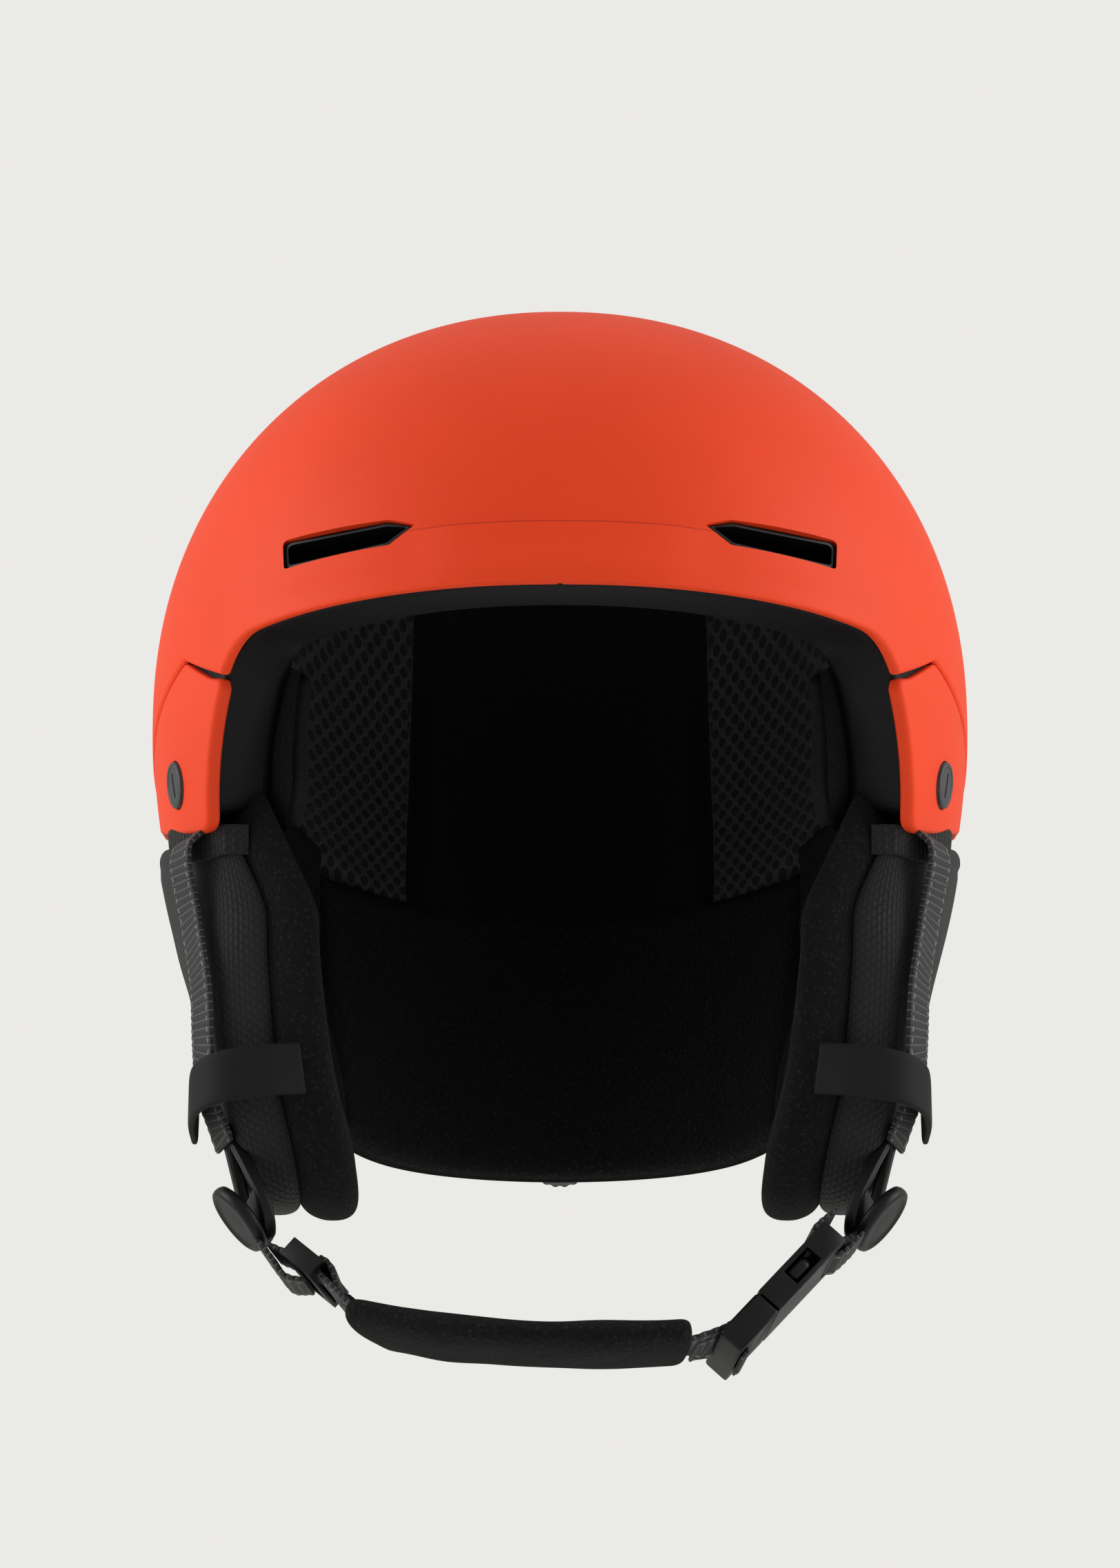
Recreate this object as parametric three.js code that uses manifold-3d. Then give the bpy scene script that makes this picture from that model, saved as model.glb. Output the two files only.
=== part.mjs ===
// Ski helmet: hard outer shell with side panels, foam liner, comfort pads, a lace-wound fit system at
// the nape, a goggle strap clip at the back, soft ear pads and a chin strap with a side-release buckle.
//
// Millimetres, +Z up. The helmet faces -Y and +X is the wearer's left. The origin is on the mid-plane,
// level with the lower edge of the brim, at the middle of the space for the head.
import * as THREE from "three";
import { mergeVertices } from "three/addons/utils/BufferGeometryUtils.js";
import Module from "manifold-3d";

const wasm = await Module();
wasm.setup();
const V = (x, y, z) => new THREE.Vector3(x, y, z);

// ---------------------------------------------------------------- driving dimensions
const halfWidth = 112; // outer shell, mid-plane to side
const frontReach = 129; // origin to the brow of the shell
const backReach = 137; // origin to the back of the shell
const crownRise = 113; // widest level to the crown
const lowerDrop = 135; // how slowly the walls tuck in below the widest level
const widestHeight = 5; // the widest level, above the brim's edge
const fullness = 2.12; // 2 is an ellipsoid, more is squarer
const brimFlare = 3; // the brim's lower edge stands out this far
const shellThickness = 2.4;
const seamGap = 0.5; // between pieces that lie on each other
const linerInset = shellThickness + seamGap;
const linerThickness = 18;
const padInset = linerInset + linerThickness + seamGap;
const padThickness = 6.5;
const napeSeam = -16; // where the nape pad starts at the back
const napePocketInset = 10.5; // the liner is thinned to here behind the fit system
const webbingWidth = 15;
const webbingThickness = 1.5;
const meridians = 36;
const parallels = 20;
const far = 170; // well outside the helmet

// ---------------------------------------------------------------- materials
const finish = (color, roughness, metalness = 0) =>
  new THREE.MeshStandardMaterial({ color, roughness, metalness });
const orangeShell = finish(0xf1461f, 0.55);
const blackFoam = finish(0x1b1b1c, 0.75);
const blackPlastic = finish(0x17181a, 0.5);
const greyCap = finish(0x4a4b4e, 0.5);
const plush = finish(0x121213, 0.95);
const spacerMesh = finish(0x161617, 0.9);
const webbing = finish(0x1c1c1d, 0.85);
const softRubber = finish(0x1d1d1f, 0.6);
const steel = finish(0x9a9ca0, 0.35, 1);

// ---------------------------------------------------------------- geometry helpers
// A closed geometry as a solid that can be cut and joined.
function solid(geometry) {
  const bare = geometry.clone();
  bare.deleteAttribute("normal");
  bare.deleteAttribute("uv");
  const merged = mergeVertices(bare, 1e-4);
  return new wasm.Manifold(
    new wasm.Mesh({
      numProp: 3,
      vertProperties: merged.attributes.position.array,
      triVerts: Uint32Array.from(merged.index.array),
    }),
  );
}

function geometryOf(body) {
  const mesh = body.getMesh();
  const points = new THREE.BufferAttribute(mesh.vertProperties, 3);
  const corners = new THREE.BufferAttribute(mesh.triVerts, 1);
  return new THREE.BufferGeometry().setAttribute("position", points).setIndex(corners);
}

// Moves each vertex of a geometry to where rule puts it.
function bend(geometry, rule) {
  const at = geometry.attributes.position;
  for (let i = 0; i < at.count; i++) {
    const p = rule(V(at.getX(i), at.getY(i), at.getZ(i)));
    at.setXYZ(i, p.x, p.y, p.z);
  }
  return geometry;
}

const power = (value, exponent) => Math.sign(value) * Math.abs(value) ** exponent;
const clamp = THREE.MathUtils.clamp;

// The helmet's form: a superellipsoid, shorter in front than behind, offset inwards by inset.
function formPoint(direction, inset) {
  const reachX = halfWidth - inset;
  const reachY = (direction.y < 0 ? frontReach : backReach) - inset;
  const reachZ = (direction.z > 0 ? crownRise : lowerDrop) - inset;
  const sum =
    Math.abs(direction.x / reachX) ** fullness +
    Math.abs(direction.y / reachY) ** fullness +
    Math.abs(direction.z / reachZ) ** fullness;
  const p = direction.clone().multiplyScalar(sum ** (-1 / fullness));
  p.z += widestHeight;
  if (inset < linerInset) {
    const nearEdge = Math.exp(-((p.z / 9) ** 2));
    const inFront = THREE.MathUtils.smoothstep(-p.y, 70, 110);
    p.y -= brimFlare * nearEdge * inFront;
  }
  return p;
}

// The form's point at a place in side view: hand is -1 for the wearer's right.
function formSide(y, z, inset, hand = -1) {
  const reachY = (y < 0 ? frontReach : backReach) - inset;
  const rise = z - widestHeight;
  const reachZ = (rise > 0 ? crownRise : lowerDrop) - inset;
  const rest = 1 - Math.abs(y / reachY) ** fullness - Math.abs(rise / reachZ) ** fullness;
  return V(hand * (halfWidth - inset) * Math.max(rest, 0) ** (1 / fullness), y, z);
}

function formNormal(y, z, hand = -1) {
  const step = 1;
  const along = formSide(y + step, z, 0, hand).sub(formSide(y - step, z, 0, hand));
  const up = formSide(y, z + step, 0, hand).sub(formSide(y, z - step, 0, hand));
  const out = along.cross(up).normalize();
  return out.x * hand < 0 ? out.negate() : out;
}

const dome = (inset) =>
  solid(
    bend(new THREE.SphereGeometry(1, meridians, parallels).rotateX(Math.PI / 2), (p) =>
      formPoint(p, inset),
    ),
  );
const layer = (outer, inner) => dome(outer).subtract(dome(inner));

// Prisms: an outline in side view run across the helmet, in front view run back, or in plan run up.
const sideways = new THREE.Matrix4().makeBasis(V(0, 1, 0), V(0, 0, 1), V(1, 0, 0));
const backwards = new THREE.Matrix4().makeBasis(V(1, 0, 0), V(0, 0, 1), V(0, -1, 0));
function prism(shape, from, to, basis) {
  const settings = { depth: to - from, bevelEnabled: false, curveSegments: 8 };
  const geometry = new THREE.ExtrudeGeometry(shape, settings).translate(0, 0, from);
  return basis ? geometry.applyMatrix4(basis) : geometry;
}
const sidePrism = (shape, from = -far, to = far) => solid(prism(shape, from, to, sideways));
const frontPrism = (shape, from, to) => solid(prism(shape, -to, -from, backwards));
const planPrism = (shape, from, to) => solid(prism(shape, from, to));
const outline = (...corners) =>
  new THREE.Shape(corners.map(([x, y]) => new THREE.Vector2(x, y)));
const block = (low, high) =>
  solid(
    new THREE.BoxGeometry(high[0] - low[0], high[1] - low[1], high[2] - low[2]).translate(
      (low[0] + high[0]) / 2,
      (low[1] + high[1]) / 2,
      (low[2] + high[2]) / 2,
    ),
  );

// A flat strap along points, its face turned to faces.
function ribbon(points, faces, size = {}) {
  const { width = webbingWidth, thickness = webbingThickness, steps = 12 } = size;
  const line = new THREE.CatmullRomCurve3(points);
  const facing = new THREE.CatmullRomCurve3(faces);
  return bend(new THREE.BoxGeometry(1, width, thickness, steps, 1, 1), (p) => {
    const t = p.x + 0.5;
    const along = line.getTangent(t);
    const out = facing.getPoint(t);
    out.addScaledVector(along, -out.dot(along)).normalize();
    const across = out.clone().cross(along);
    return line.getPoint(t).addScaledVector(across, p.y).addScaledVector(out, p.z);
  });
}

// A stuffed pad: a ball pressed flat, filled out to a closed outline and laid on a curved middle.
function cushion(edge, centre, thickness, place, segments = 30, rings = 12) {
  const ring = new THREE.CatmullRomCurve3(edge.map(([y, z]) => V(0, y, z)), true);
  const middle = V(0, ...centre);
  return bend(new THREE.SphereGeometry(1, segments, rings).rotateX(Math.PI / 2), (p) => {
    const spread = Math.min(1, Math.hypot(p.x, p.y)) ** 0.72;
    const turn = (Math.atan2(p.y, p.x) / (2 * Math.PI) + 1) % 1;
    const at = ring.getPointAt(turn).sub(middle).multiplyScalar(spread).add(middle);
    return place(at.y, at.z, (power(p.z, 0.62) * thickness) / 2);
  });
}

// A turn that carries +Z to axis, and +X as near as it can to hint.
function facingFrame(origin, axis, hint) {
  const z = axis.clone().normalize();
  const x = hint.clone().addScaledVector(z, -hint.dot(z)).normalize();
  const y = z.clone().cross(x);
  return new THREE.Matrix4().makeBasis(x, y, z).setPosition(origin);
}

const helmet = new THREE.Group();
const bothSides = [
  ["right", 1],
  ["left", -1],
];

function add(name, geometry, material) {
  const mesh = new THREE.Mesh(geometry, material);
  mesh.name = name;
  helmet.add(mesh);
  return mesh;
}

// A piece modelled at the wearer's right, and its mirror image at the left.
function addPair(name, geometry, material) {
  for (const [hand, flip] of bothSides) {
    add(`${name}_${hand}`, geometry, material).scale.x = flip;
  }
}

// ---------------------------------------------------------------- outlines in side view, as (y, z)
const brimEnd = [-86, -6];
const seamPeak = [-64.5, 3];
const seamMiddle = [-36, -3];
const seamTail = [20, -21];
const panelToe = [-68, -46];
const panelHeel = [0, -23];
const napeEdge = -74; // lower edge of the shell at the back
const linerEdge = 1.4; // the liner stops this far above the shell's edge

function shellShape() {
  const shape = new THREE.Shape();
  shape.moveTo(-far, 0);
  shape.lineTo(-95, 0);
  shape.quadraticCurveTo(-89, 0, ...brimEnd);
  shape.lineTo(...seamPeak);
  shape.lineTo(...seamMiddle);
  shape.lineTo(...seamTail);
  shape.bezierCurveTo(50, -24, 62, napeEdge, 95, napeEdge);
  shape.lineTo(far, napeEdge);
  shape.lineTo(far, far);
  shape.lineTo(-far, far);
  return shape;
}

function linerShape() {
  const shape = new THREE.Shape();
  shape.moveTo(-far, linerEdge);
  shape.lineTo(-94, linerEdge);
  shape.quadraticCurveTo(-86, linerEdge, -80, -9);
  shape.lineTo(-64.5, -39);
  shape.quadraticCurveTo(-63, -42.4, -59, -41.2);
  shape.lineTo(panelHeel[0], panelHeel[1] + linerEdge);
  shape.lineTo(seamTail[0], seamTail[1] + linerEdge);
  shape.bezierCurveTo(50, -22.6, 62, napeEdge + linerEdge, 95, napeEdge + linerEdge);
  shape.lineTo(far, napeEdge + linerEdge);
  shape.lineTo(far, far);
  shape.lineTo(-far, far);
  return shape;
}

function panelShape() {
  const shape = new THREE.Shape();
  shape.moveTo(brimEnd[0] + 0.4, brimEnd[1] - 0.9);
  shape.lineTo(seamPeak[0], seamPeak[1] - 0.6);
  shape.lineTo(seamMiddle[0], seamMiddle[1] - 0.6);
  shape.lineTo(12, -19.1);
  shape.lineTo(12, -21.6);
  shape.lineTo(...panelHeel);
  shape.lineTo(panelToe[0] + 5, panelToe[1] + 1.7);
  shape.quadraticCurveTo(panelToe[0] + 1, panelToe[1], panelToe[0] - 1.4, panelToe[1] + 4);
  return shape;
}

// The panel's front edge is folded in, in front of the liner.
function panelLipShape() {
  const shape = new THREE.Shape();
  shape.moveTo(brimEnd[0] + 0.4, brimEnd[1] - 0.9);
  shape.lineTo(brimEnd[0] + 3.4, brimEnd[1] - 0.9);
  shape.lineTo(panelToe[0] + 1.6, panelToe[1] + 4.5);
  shape.lineTo(panelToe[0] - 1.4, panelToe[1] + 4);
  return shape;
}

// A vent slot seen from in front, pointed towards the middle of the brow.
function ventShape(side, low, high, tip, outer, grow = 0) {
  const middle = (low + high) / 2;
  const shoulder = tip + 6.7;
  const points = [
    [tip - grow * 1.6, middle],
    [shoulder - grow * 0.5, high + grow],
    [outer - 2 + grow, high + grow],
    [outer + grow, high - 2 + grow],
    [outer - 1.5 + grow, low - grow],
    [shoulder - grow * 0.5, low - grow],
  ].map(([x, z]) => [side * x, z]);
  return outline(...(side > 0 ? points.reverse() : points));
}
const browVent = (side, grow) => ventShape(side, 14.5, 21.8, 36.4, 71.5, grow);
const exhaustVent = (side, grow) => ventShape(side, 38, 45, 14, 46, grow);

// ---------------------------------------------------------------- hard shell
const shellLayer = layer(0, shellThickness);
const capPlace = [-51, -27]; // side cap, in side view
const capRadius = 6.2;
const capFrame = facingFrame(formSide(...capPlace, 0), formNormal(...capPlace), V(0, 0, 1));
const disc = (radius, low, high, sides = 24) =>
  new THREE.CylinderGeometry(radius, radius, high - low, sides)
    .rotateX(Math.PI / 2)
    .translate(0, 0, (low + high) / 2);

const browHoles = (grow) =>
  [-1, 1].map((side) => frontPrism(browVent(side, grow), -far, -40));
const exhaustHoles = (grow) =>
  [-1, 1].map((side) => frontPrism(exhaustVent(side, grow), 40, far));
const cutAll = (body, tools) => tools.reduce((rest, tool) => rest.subtract(tool), body);

const clipHole = [6, 137]; // the goggle clip's rivet: height, and where it meets the shell
const rivetRadius = 2;
const rivetHole = solid(
  disc(rivetRadius + 0.3, -9, 9, 16).rotateX(Math.PI / 2).translate(0, clipHole[1], clipHole[0]),
);
add(
  "outer_shell",
  geometryOf(
    cutAll(shellLayer.intersect(sidePrism(shellShape())), [
      ...browHoles(0),
      ...exhaustHoles(0),
      rivetHole,
    ]),
  ),
  orangeShell,
);

const panelBody = shellLayer
  .intersect(sidePrism(panelShape(), -far, 0))
  .add(layer(shellThickness - 0.1, 7).intersect(sidePrism(panelLipShape(), -far, 0)))
  .subtract(solid(disc(capRadius + 0.3, -6, 6).applyMatrix4(capFrame)));
addPair("side_panel", geometryOf(panelBody), orangeShell);
addPair("side_cap", disc(capRadius, -shellThickness + 0.1, 0.5).applyMatrix4(capFrame), greyCap);

// ---------------------------------------------------------------- vent inserts
function ventInsert(shape, hole, from, to) {
  const tube = layer(0.5, 9).intersect(frontPrism(shape, from, to));
  return geometryOf(tube.subtract(frontPrism(hole, from, to)));
}
for (const [hand, side] of [["right", -1], ["left", 1]]) {
  const brow = ventInsert(browVent(side, -0.3), browVent(side, -1.3), -far, -40);
  const exhaust = ventInsert(exhaustVent(side, -0.3), exhaustVent(side, -1.3), 40, far);
  add(`brow_vent_${hand}`, brow, blackPlastic);
  add(`rear_vent_${hand}`, exhaust, blackPlastic);
}

// ---------------------------------------------------------------- strap anchors, in slots of the liner
const frontAnchor = formSide(-50, -31, 10);
const rearAnchor = formSide(51, -30, 10);
const anchorSlots = [frontAnchor, rearAnchor].flatMap(({ x, y, z }) => [
  block([x - 3, y - 10, z - 24], [x + 5, y + 10, z + 6]),
  block([-x - 5, y - 10, z - 24], [-x + 3, y + 10, z + 6]),
]);
// A bar with a slot that the webbing is sewn round.
const anchorBar = (at) =>
  geometryOf(
    block([at.x - 2, at.y - 9, at.z - 1], [at.x + 2, at.y + 9, at.z + 5]).subtract(
      block([at.x - 3, at.y - 8, at.z + 0.6], [at.x + 3, at.y + 8, at.z + 2.4]),
    ),
  );
addPair("strap_anchor_front", anchorBar(frontAnchor), steel);
addPair("strap_anchor_rear", anchorBar(rearAnchor), steel);

// ---------------------------------------------------------------- foam liner
const napePocket = layer(napePocketInset, linerInset + linerThickness + 1).intersect(
  block([-92, 20, -far], [92, far, napeSeam - 0.5]),
);
add(
  "foam_liner",
  geometryOf(
    cutAll(layer(linerInset, linerInset + linerThickness).intersect(sidePrism(linerShape())), [
      ...browHoles(0.3),
      ...exhaustHoles(0.3),
      ...anchorSlots,
      napePocket,
      rivetHole,
    ]),
  ),
  blackFoam,
);

// ---------------------------------------------------------------- comfort pads on the liner
const padLayer = layer(padInset, padInset + padThickness);
const stripFront = 33; // half width of the middle strip over the brow
const stripBack = 44; // and at the nape seam
const stripShape = (grow) =>
  outline(
    [-stripFront - grow, -far],
    [stripFront + grow, -far],
    [stripBack + grow, far],
    [-stripBack - grow, far],
  );
// Everything above the lower edge of the mesh pads, in side view.
const meshEdge = (drop) =>
  outline(
    [-far, 5 - drop],
    [-84, 5 - drop],
    [-40, 9 - drop],
    [5, 9 - drop],
    [45, -9.5 - drop],
    [80, napeSeam - drop],
    [far, napeSeam - drop],
    [far, far],
    [-far, far],
  );
const aboveMeshEdge = sidePrism(meshEdge(0));
add(
  "crown_pad",
  geometryOf(
    padLayer.intersect(planPrism(stripShape(0), -far, far)).intersect(aboveMeshEdge),
  ),
  plush,
);
const meshPad = padLayer
  .intersect(aboveMeshEdge)
  .subtract(planPrism(stripShape(0.6), -far, far))
  .intersect(block([-far, -far, -far], [0, far, far]));
addPair("mesh_pad", geometryOf(meshPad), spacerMesh);

// The collar tucks the ear pad's fabric up inside the liner.
const collarShape = outline(
  [-74, -10],
  [-62, -36],
  [0, -19.5],
  [20, -17.6],
  [46, -30],
  [46, -11],
  [5, 8.2],
  [-40, 8.2],
  [-78, 4.2],
);
const collar = padLayer.intersect(sidePrism(collarShape, -far, 0));
addPair("ear_collar", geometryOf(collar), plush);

// ---------------------------------------------------------------- nape pad, cradle and fit dial
const napeLow = -103;
const napeSpan = napeSeam - 1 - napeLow;
// Inner face of the pad behind the head: turn is measured from straight back, z is height.
function napePoint(turn, z, out) {
  const sunk = clamp((napeSeam - 1 - z) / napeSpan, 0, 1.1);
  const reachX = 85 - 11 * sunk + out;
  const reachY = 107 - 28 * sunk ** 1.3 + out;
  return V(reachX * Math.sin(turn), reachY * Math.cos(turn), z);
}
// A plate that follows the nape pad, from low to high and out by near to far.
function napePlate(halfTurn, high, low, near, away, across, down) {
  return bend(new THREE.BoxGeometry(2, 1, 1, across, down, 1), (p) => {
    const turn = THREE.MathUtils.degToRad(halfTurn) * -p.x;
    return napePoint(turn, low + (high - low) * (p.y + 0.5), near + (away - near) * (p.z + 0.5));
  });
}
add("nape_pad", napePlate(50, napeSeam - 1, napeLow, 0, 6.5, 16, 7), plush);

const cradleNear = 7;
const cradleFar = 9;
const dialHeight = -88;
const dialBack = napePoint(0, dialHeight, cradleFar).y + 3.2;
const postRadius = 2.5;
const postHole = solid(
  disc(postRadius + 0.3, -20, 20, 20).rotateX(Math.PI / 2).translate(0, dialBack, dialHeight),
);
const cradle = solid(napePlate(47, -48, -99, cradleNear, cradleFar, 16, 5));
const cradleWindows = [-1, 1].map((side) =>
  frontPrism(
    outline([side * 22, -82], [side * 52, -74], [side * 52, -60], [side * 22, -62]),
    20,
    far,
  ),
);
add("nape_cradle", geometryOf(cutAll(cradle, [...cradleWindows, postHole])), blackPlastic);

// The dial's base is trimmed to the back of the cradle.
const lathe = (points, sides = 28) =>
  new THREE.LatheGeometry(
    points.map(([r, h]) => new THREE.Vector2(r, h)),
    sides,
  );
// Lathe shapes stand on +Y, which is the dial's own axis.
const onDialAxis = (geometry) => geometry.translate(0, dialBack, dialHeight);
const baseDepth = 4;
const dialRadius = 11.5;
const cradleBack = solid(napePlate(70, -40, -112, -30, cradleFar + seamGap, 16, 6));
const dialBase = solid(
  onDialAxis(
    lathe([[0, -9], [dialRadius + 1, -9], [dialRadius + 1, baseDepth], [0, baseDepth]]),
  ),
).subtract(cradleBack);
const spoolWell = solid(onDialAxis(lathe([[0, 1], [8, 1], [8, baseDepth + 1], [0, baseDepth + 1]])));
add("dial_base", geometryOf(cutAll(dialBase, [spoolWell, postHole])), blackPlastic);
// The knob and the spool that winds the lace turn together on a post with a head.
add(
  "dial_knob",
  onDialAxis(
    lathe([[3, 4.6], [dialRadius, 4.6], [dialRadius, 9.4], [9.8, 11.2], [3, 11.2], [3, 4.6]]),
  ),
  blackPlastic,
);
add(
  "lace_spool",
  onDialAxis(
    lathe(
      [[3, 1.4], [7.4, 1.4], [7.4, 2], [5.2, 2.3], [5.2, 3.3], [7.4, 3.6], [7.4, 4.3], [3, 4.3], [3, 1.4]],
      24,
    ),
  ),
  steel,
);
add(
  "dial_post",
  onDialAxis(
    lathe([[0, -4.4], [postRadius, -4.4], [postRadius, 11.5], [4.2, 11.5], [4.2, 12.3], [0, 12.6]], 20),
  ),
  steel,
);

// ---------------------------------------------------------------- goggle strap clip
const clipHalf = 12;
const hingeAt = [144.2, 12]; // y, z of the clip's hinge
const pinRadius = 1.2;
const rod = (radius, half, y, z, sides = 16) =>
  new THREE.CylinderGeometry(radius, radius, 2 * half, sides)
    .rotateZ(Math.PI / 2)
    .translate(0, y, z);
const shellBack = dome(-seamGap);
const clipBase = block([-clipHalf, 128, -1], [clipHalf, 142.5, 8.4])
  .add(block([-clipHalf, 134, 8], [-clipHalf + 3.5, 147, 15]))
  .add(block([clipHalf - 3.5, 134, 8], [clipHalf, 147, 15]))
  .subtract(shellBack)
  .subtract(solid(rod(pinRadius + 0.3, 20, ...hingeAt)))
  .subtract(solid(disc(rivetRadius + 0.3, -20, 20, 16).rotateX(Math.PI / 2).translate(0, 137, 6)));
add("goggle_clip_base", geometryOf(clipBase), blackPlastic);
add("goggle_clip_pin", rod(pinRadius, clipHalf, ...hingeAt), steel);
add(
  "goggle_clip_rivet",
  new THREE.LatheGeometry(
    [
      [0, -8],
      [rivetRadius, -8],
      [rivetRadius, 6],
      [3, 6],
      [2.7, 6.8],
      [0, 7],
    ].map(([r, h]) => new THREE.Vector2(r, h)),
    16,
  ).translate(0, 137, 6),
  steel,
);
// The arm hangs behind the goggle strap, which runs between it and the shell.
function clipArmShape() {
  const shape = new THREE.Shape();
  shape.moveTo(142.6, 10);
  shape.lineTo(144, 14.6);
  shape.lineTo(147, 13.6);
  shape.quadraticCurveTo(149, 8, 148.6, -10);
  shape.quadraticCurveTo(148, -26, 143.8, -38);
  shape.lineTo(141.4, -42);
  shape.lineTo(136.2, -40);
  shape.lineTo(136.4, -37.6);
  shape.lineTo(141.6, -37.6);
  shape.quadraticCurveTo(146, -24, 146.2, -10);
  shape.lineTo(146.2, 2);
  shape.quadraticCurveTo(146.2, 7, 142.6, 10);
  return shape;
}
const armHalf = clipHalf - 4;
const clipArm = sidePrism(clipArmShape(), -armHalf, armHalf).subtract(
  solid(rod(pinRadius + 0.25, 20, ...hingeAt)),
);
add("goggle_clip_arm", geometryOf(clipArm), softRubber);

// ---------------------------------------------------------------- ear pads
const earEdge = [
  [-60, -50],
  [-25, -41],
  [10, -31],
  [40, -40],
  [50, -58],
  [44, -88],
  [24, -116],
  [-8, -135],
  [-36, -137],
  [-51, -118],
  [-57, -84],
];
const earThickness = 21;
// Outer face of the ear pad: it narrows downwards and curls in behind the jaw.
function earOuter(y, z) {
  const lower = clamp((-50 - z) / 60, 0, 1);
  const bow = 0.0044 * y ** 2 * (1 - 0.75 * lower);
  const curl = 0.009 * Math.max(0, y + 5) ** 2 * clamp((-60 - z) / 45, 0, 1);
  return -104 + 0.27 * (-55 - z) + bow + curl;
}
// A point lift above the ear pad's outer face, and the way that face looks there.
const onEar = (y, z, lift) => V(earOuter(y, z) - lift, y, z);
const earFacing = (y, z) =>
  V(-1, earOuter(y + 1, z) - earOuter(y, z), earOuter(y, z + 1) - earOuter(y, z));
const earPad = cushion(earEdge, [-6, -84], earThickness, (y, z, out) =>
  V(earOuter(y, z) + earThickness / 2 - out, y, z),
);
// Snap studs that the ear pad hangs from.
const stud = (y, z) => {
  const at = formSide(y, z, 11);
  return new THREE.CylinderGeometry(3, 3, 3.5, 12)
    .rotateX(Math.PI / 2)
    .translate(at.x, at.y, at.z - 2.2);
};
addPair("ear_snap_front", stud(-38, -35.4), blackPlastic);
addPair("ear_snap_rear", stud(6, -22.4), blackPlastic);

// ---------------------------------------------------------------- strap divider and keeper
const dividerTop = V(-86.5, -41, -117);
const dividerLong = V(0.36, -0.07, -0.93).normalize();
const dividerOut = V(-0.9, -0.3, -0.31);
const dividerFrame = facingFrame(dividerTop, dividerOut, dividerLong);
// Drawn with +x down the divider and +y to the front.
function dividerShape() {
  const shape = new THREE.Shape();
  shape.moveTo(0, -2.5);
  shape.quadraticCurveTo(-1.5, 0, 0, 2.5);
  shape.lineTo(22, 10);
  shape.quadraticCurveTo(31, 10, 33, 4);
  shape.lineTo(33, -4);
  shape.quadraticCurveTo(31, -10, 22, -10);
  const window = new THREE.Path();
  window.moveTo(3.5, 0);
  window.lineTo(20.5, -7);
  window.lineTo(20.5, 7);
  shape.holes.push(window);
  return shape;
}
const dividerBody = prism(dividerShape(), -1.6, 1.6).applyMatrix4(dividerFrame);
addPair("strap_divider", dividerBody, blackPlastic);
const discOut = V(-0.743, -0.18, -0.644);
const discCentre = V(27, 0, 7).applyMatrix4(dividerFrame);
const discFrame = facingFrame(discCentre, discOut, dividerLong);
const lockDisc = solid(disc(9.6, -9, 0, 28).applyMatrix4(discFrame)).subtract(
  solid(
    new THREE.BoxGeometry(80, 80, 40).translate(0, 0, -20 + 1.6 + 0.35).applyMatrix4(dividerFrame),
  ),
);
addPair("divider_disc", geometryOf(lockDisc), blackPlastic);

const keeperHeight = 13.5;
const keeperLevel = -108.8;
const keeperPlan = [
  [-66, -60.5],
  [-78, -63.5],
  [-89.5, -62.5],
  [-96.5, -56],
  [-98, -46],
  [-97.6, -36],
];
const keeperOut = [
  [0.2, -1],
  [-0.05, -1],
  [-0.35, -0.94],
  [-0.85, -0.5],
  [-1, 0],
  [-1, 0.1],
];
const keeper = ribbon(
  keeperPlan.map(([x, y]) => V(x, y, keeperLevel)),
  keeperOut.map(([x, y]) => V(x, y, 0)),
  { width: keeperHeight, thickness: 1.8, steps: 18 },
);
addPair("strap_keeper", keeper, softRubber);

// ---------------------------------------------------------------- side straps
// The rear strap lies on the ear pad and the front strap lies over it.
const flat = V(-1, 0, 0);
const frontStrapOn = [
  [-50.5, -64, 2.2],
  [-50.5, -82, 2.4],
  [-49, -97, 3.8],
  [-46, -109, 4.6],
];
const frontStrapLine = [
  V(frontAnchor.x + 0.8, -50, -32.6),
  V(-91.2, -50, -42),
  V(-95.2, -50, -51),
  ...frontStrapOn.map((at) => onEar(...at)),
  V(-88.4, -42.5, -120),
  V(-85.6, -42, -129),
];
const frontStrapFaces = [
  flat,
  flat,
  V(-1, -0.2, 0),
  ...frontStrapOn.map((at) => earFacing(...at)),
  dividerOut,
  dividerOut,
];

const rearStrapOn = [
  [38, -62, 3.2],
  [22, -76, 3.4],
  [2, -91, 2.8],
  [-16, -102, 1.9],
  [-32, -110.5, 1.5],
];
const rearStrapLine = [
  V(rearAnchor.x + 1, 51, -32),
  V(-90, 50, -44),
  V(-96.4, 45, -54),
  ...rearStrapOn.map((at) => onEar(...at)),
];
const rearStrapFaces = [flat, flat, V(-1, 0.1, 0), ...rearStrapOn.map((at) => earFacing(...at))];

const frontStrap = ribbon(frontStrapLine, frontStrapFaces, { steps: 16 });
const rearStrap = ribbon(rearStrapLine, rearStrapFaces, { steps: 16 });
// The straps press grooves into the pad.
const groove = { steps: 16, width: webbingWidth + 0.8, thickness: webbingThickness + 0.8 };
const groovedPad = solid(earPad)
  .subtract(solid(ribbon(frontStrapLine, frontStrapFaces, groove)))
  .subtract(solid(ribbon(rearStrapLine, rearStrapFaces, groove)));
addPair("ear_pad", geometryOf(groovedPad), plush);
addPair("front_strap", frontStrap, webbing);
addPair("rear_strap", rearStrap, webbing);

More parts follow.
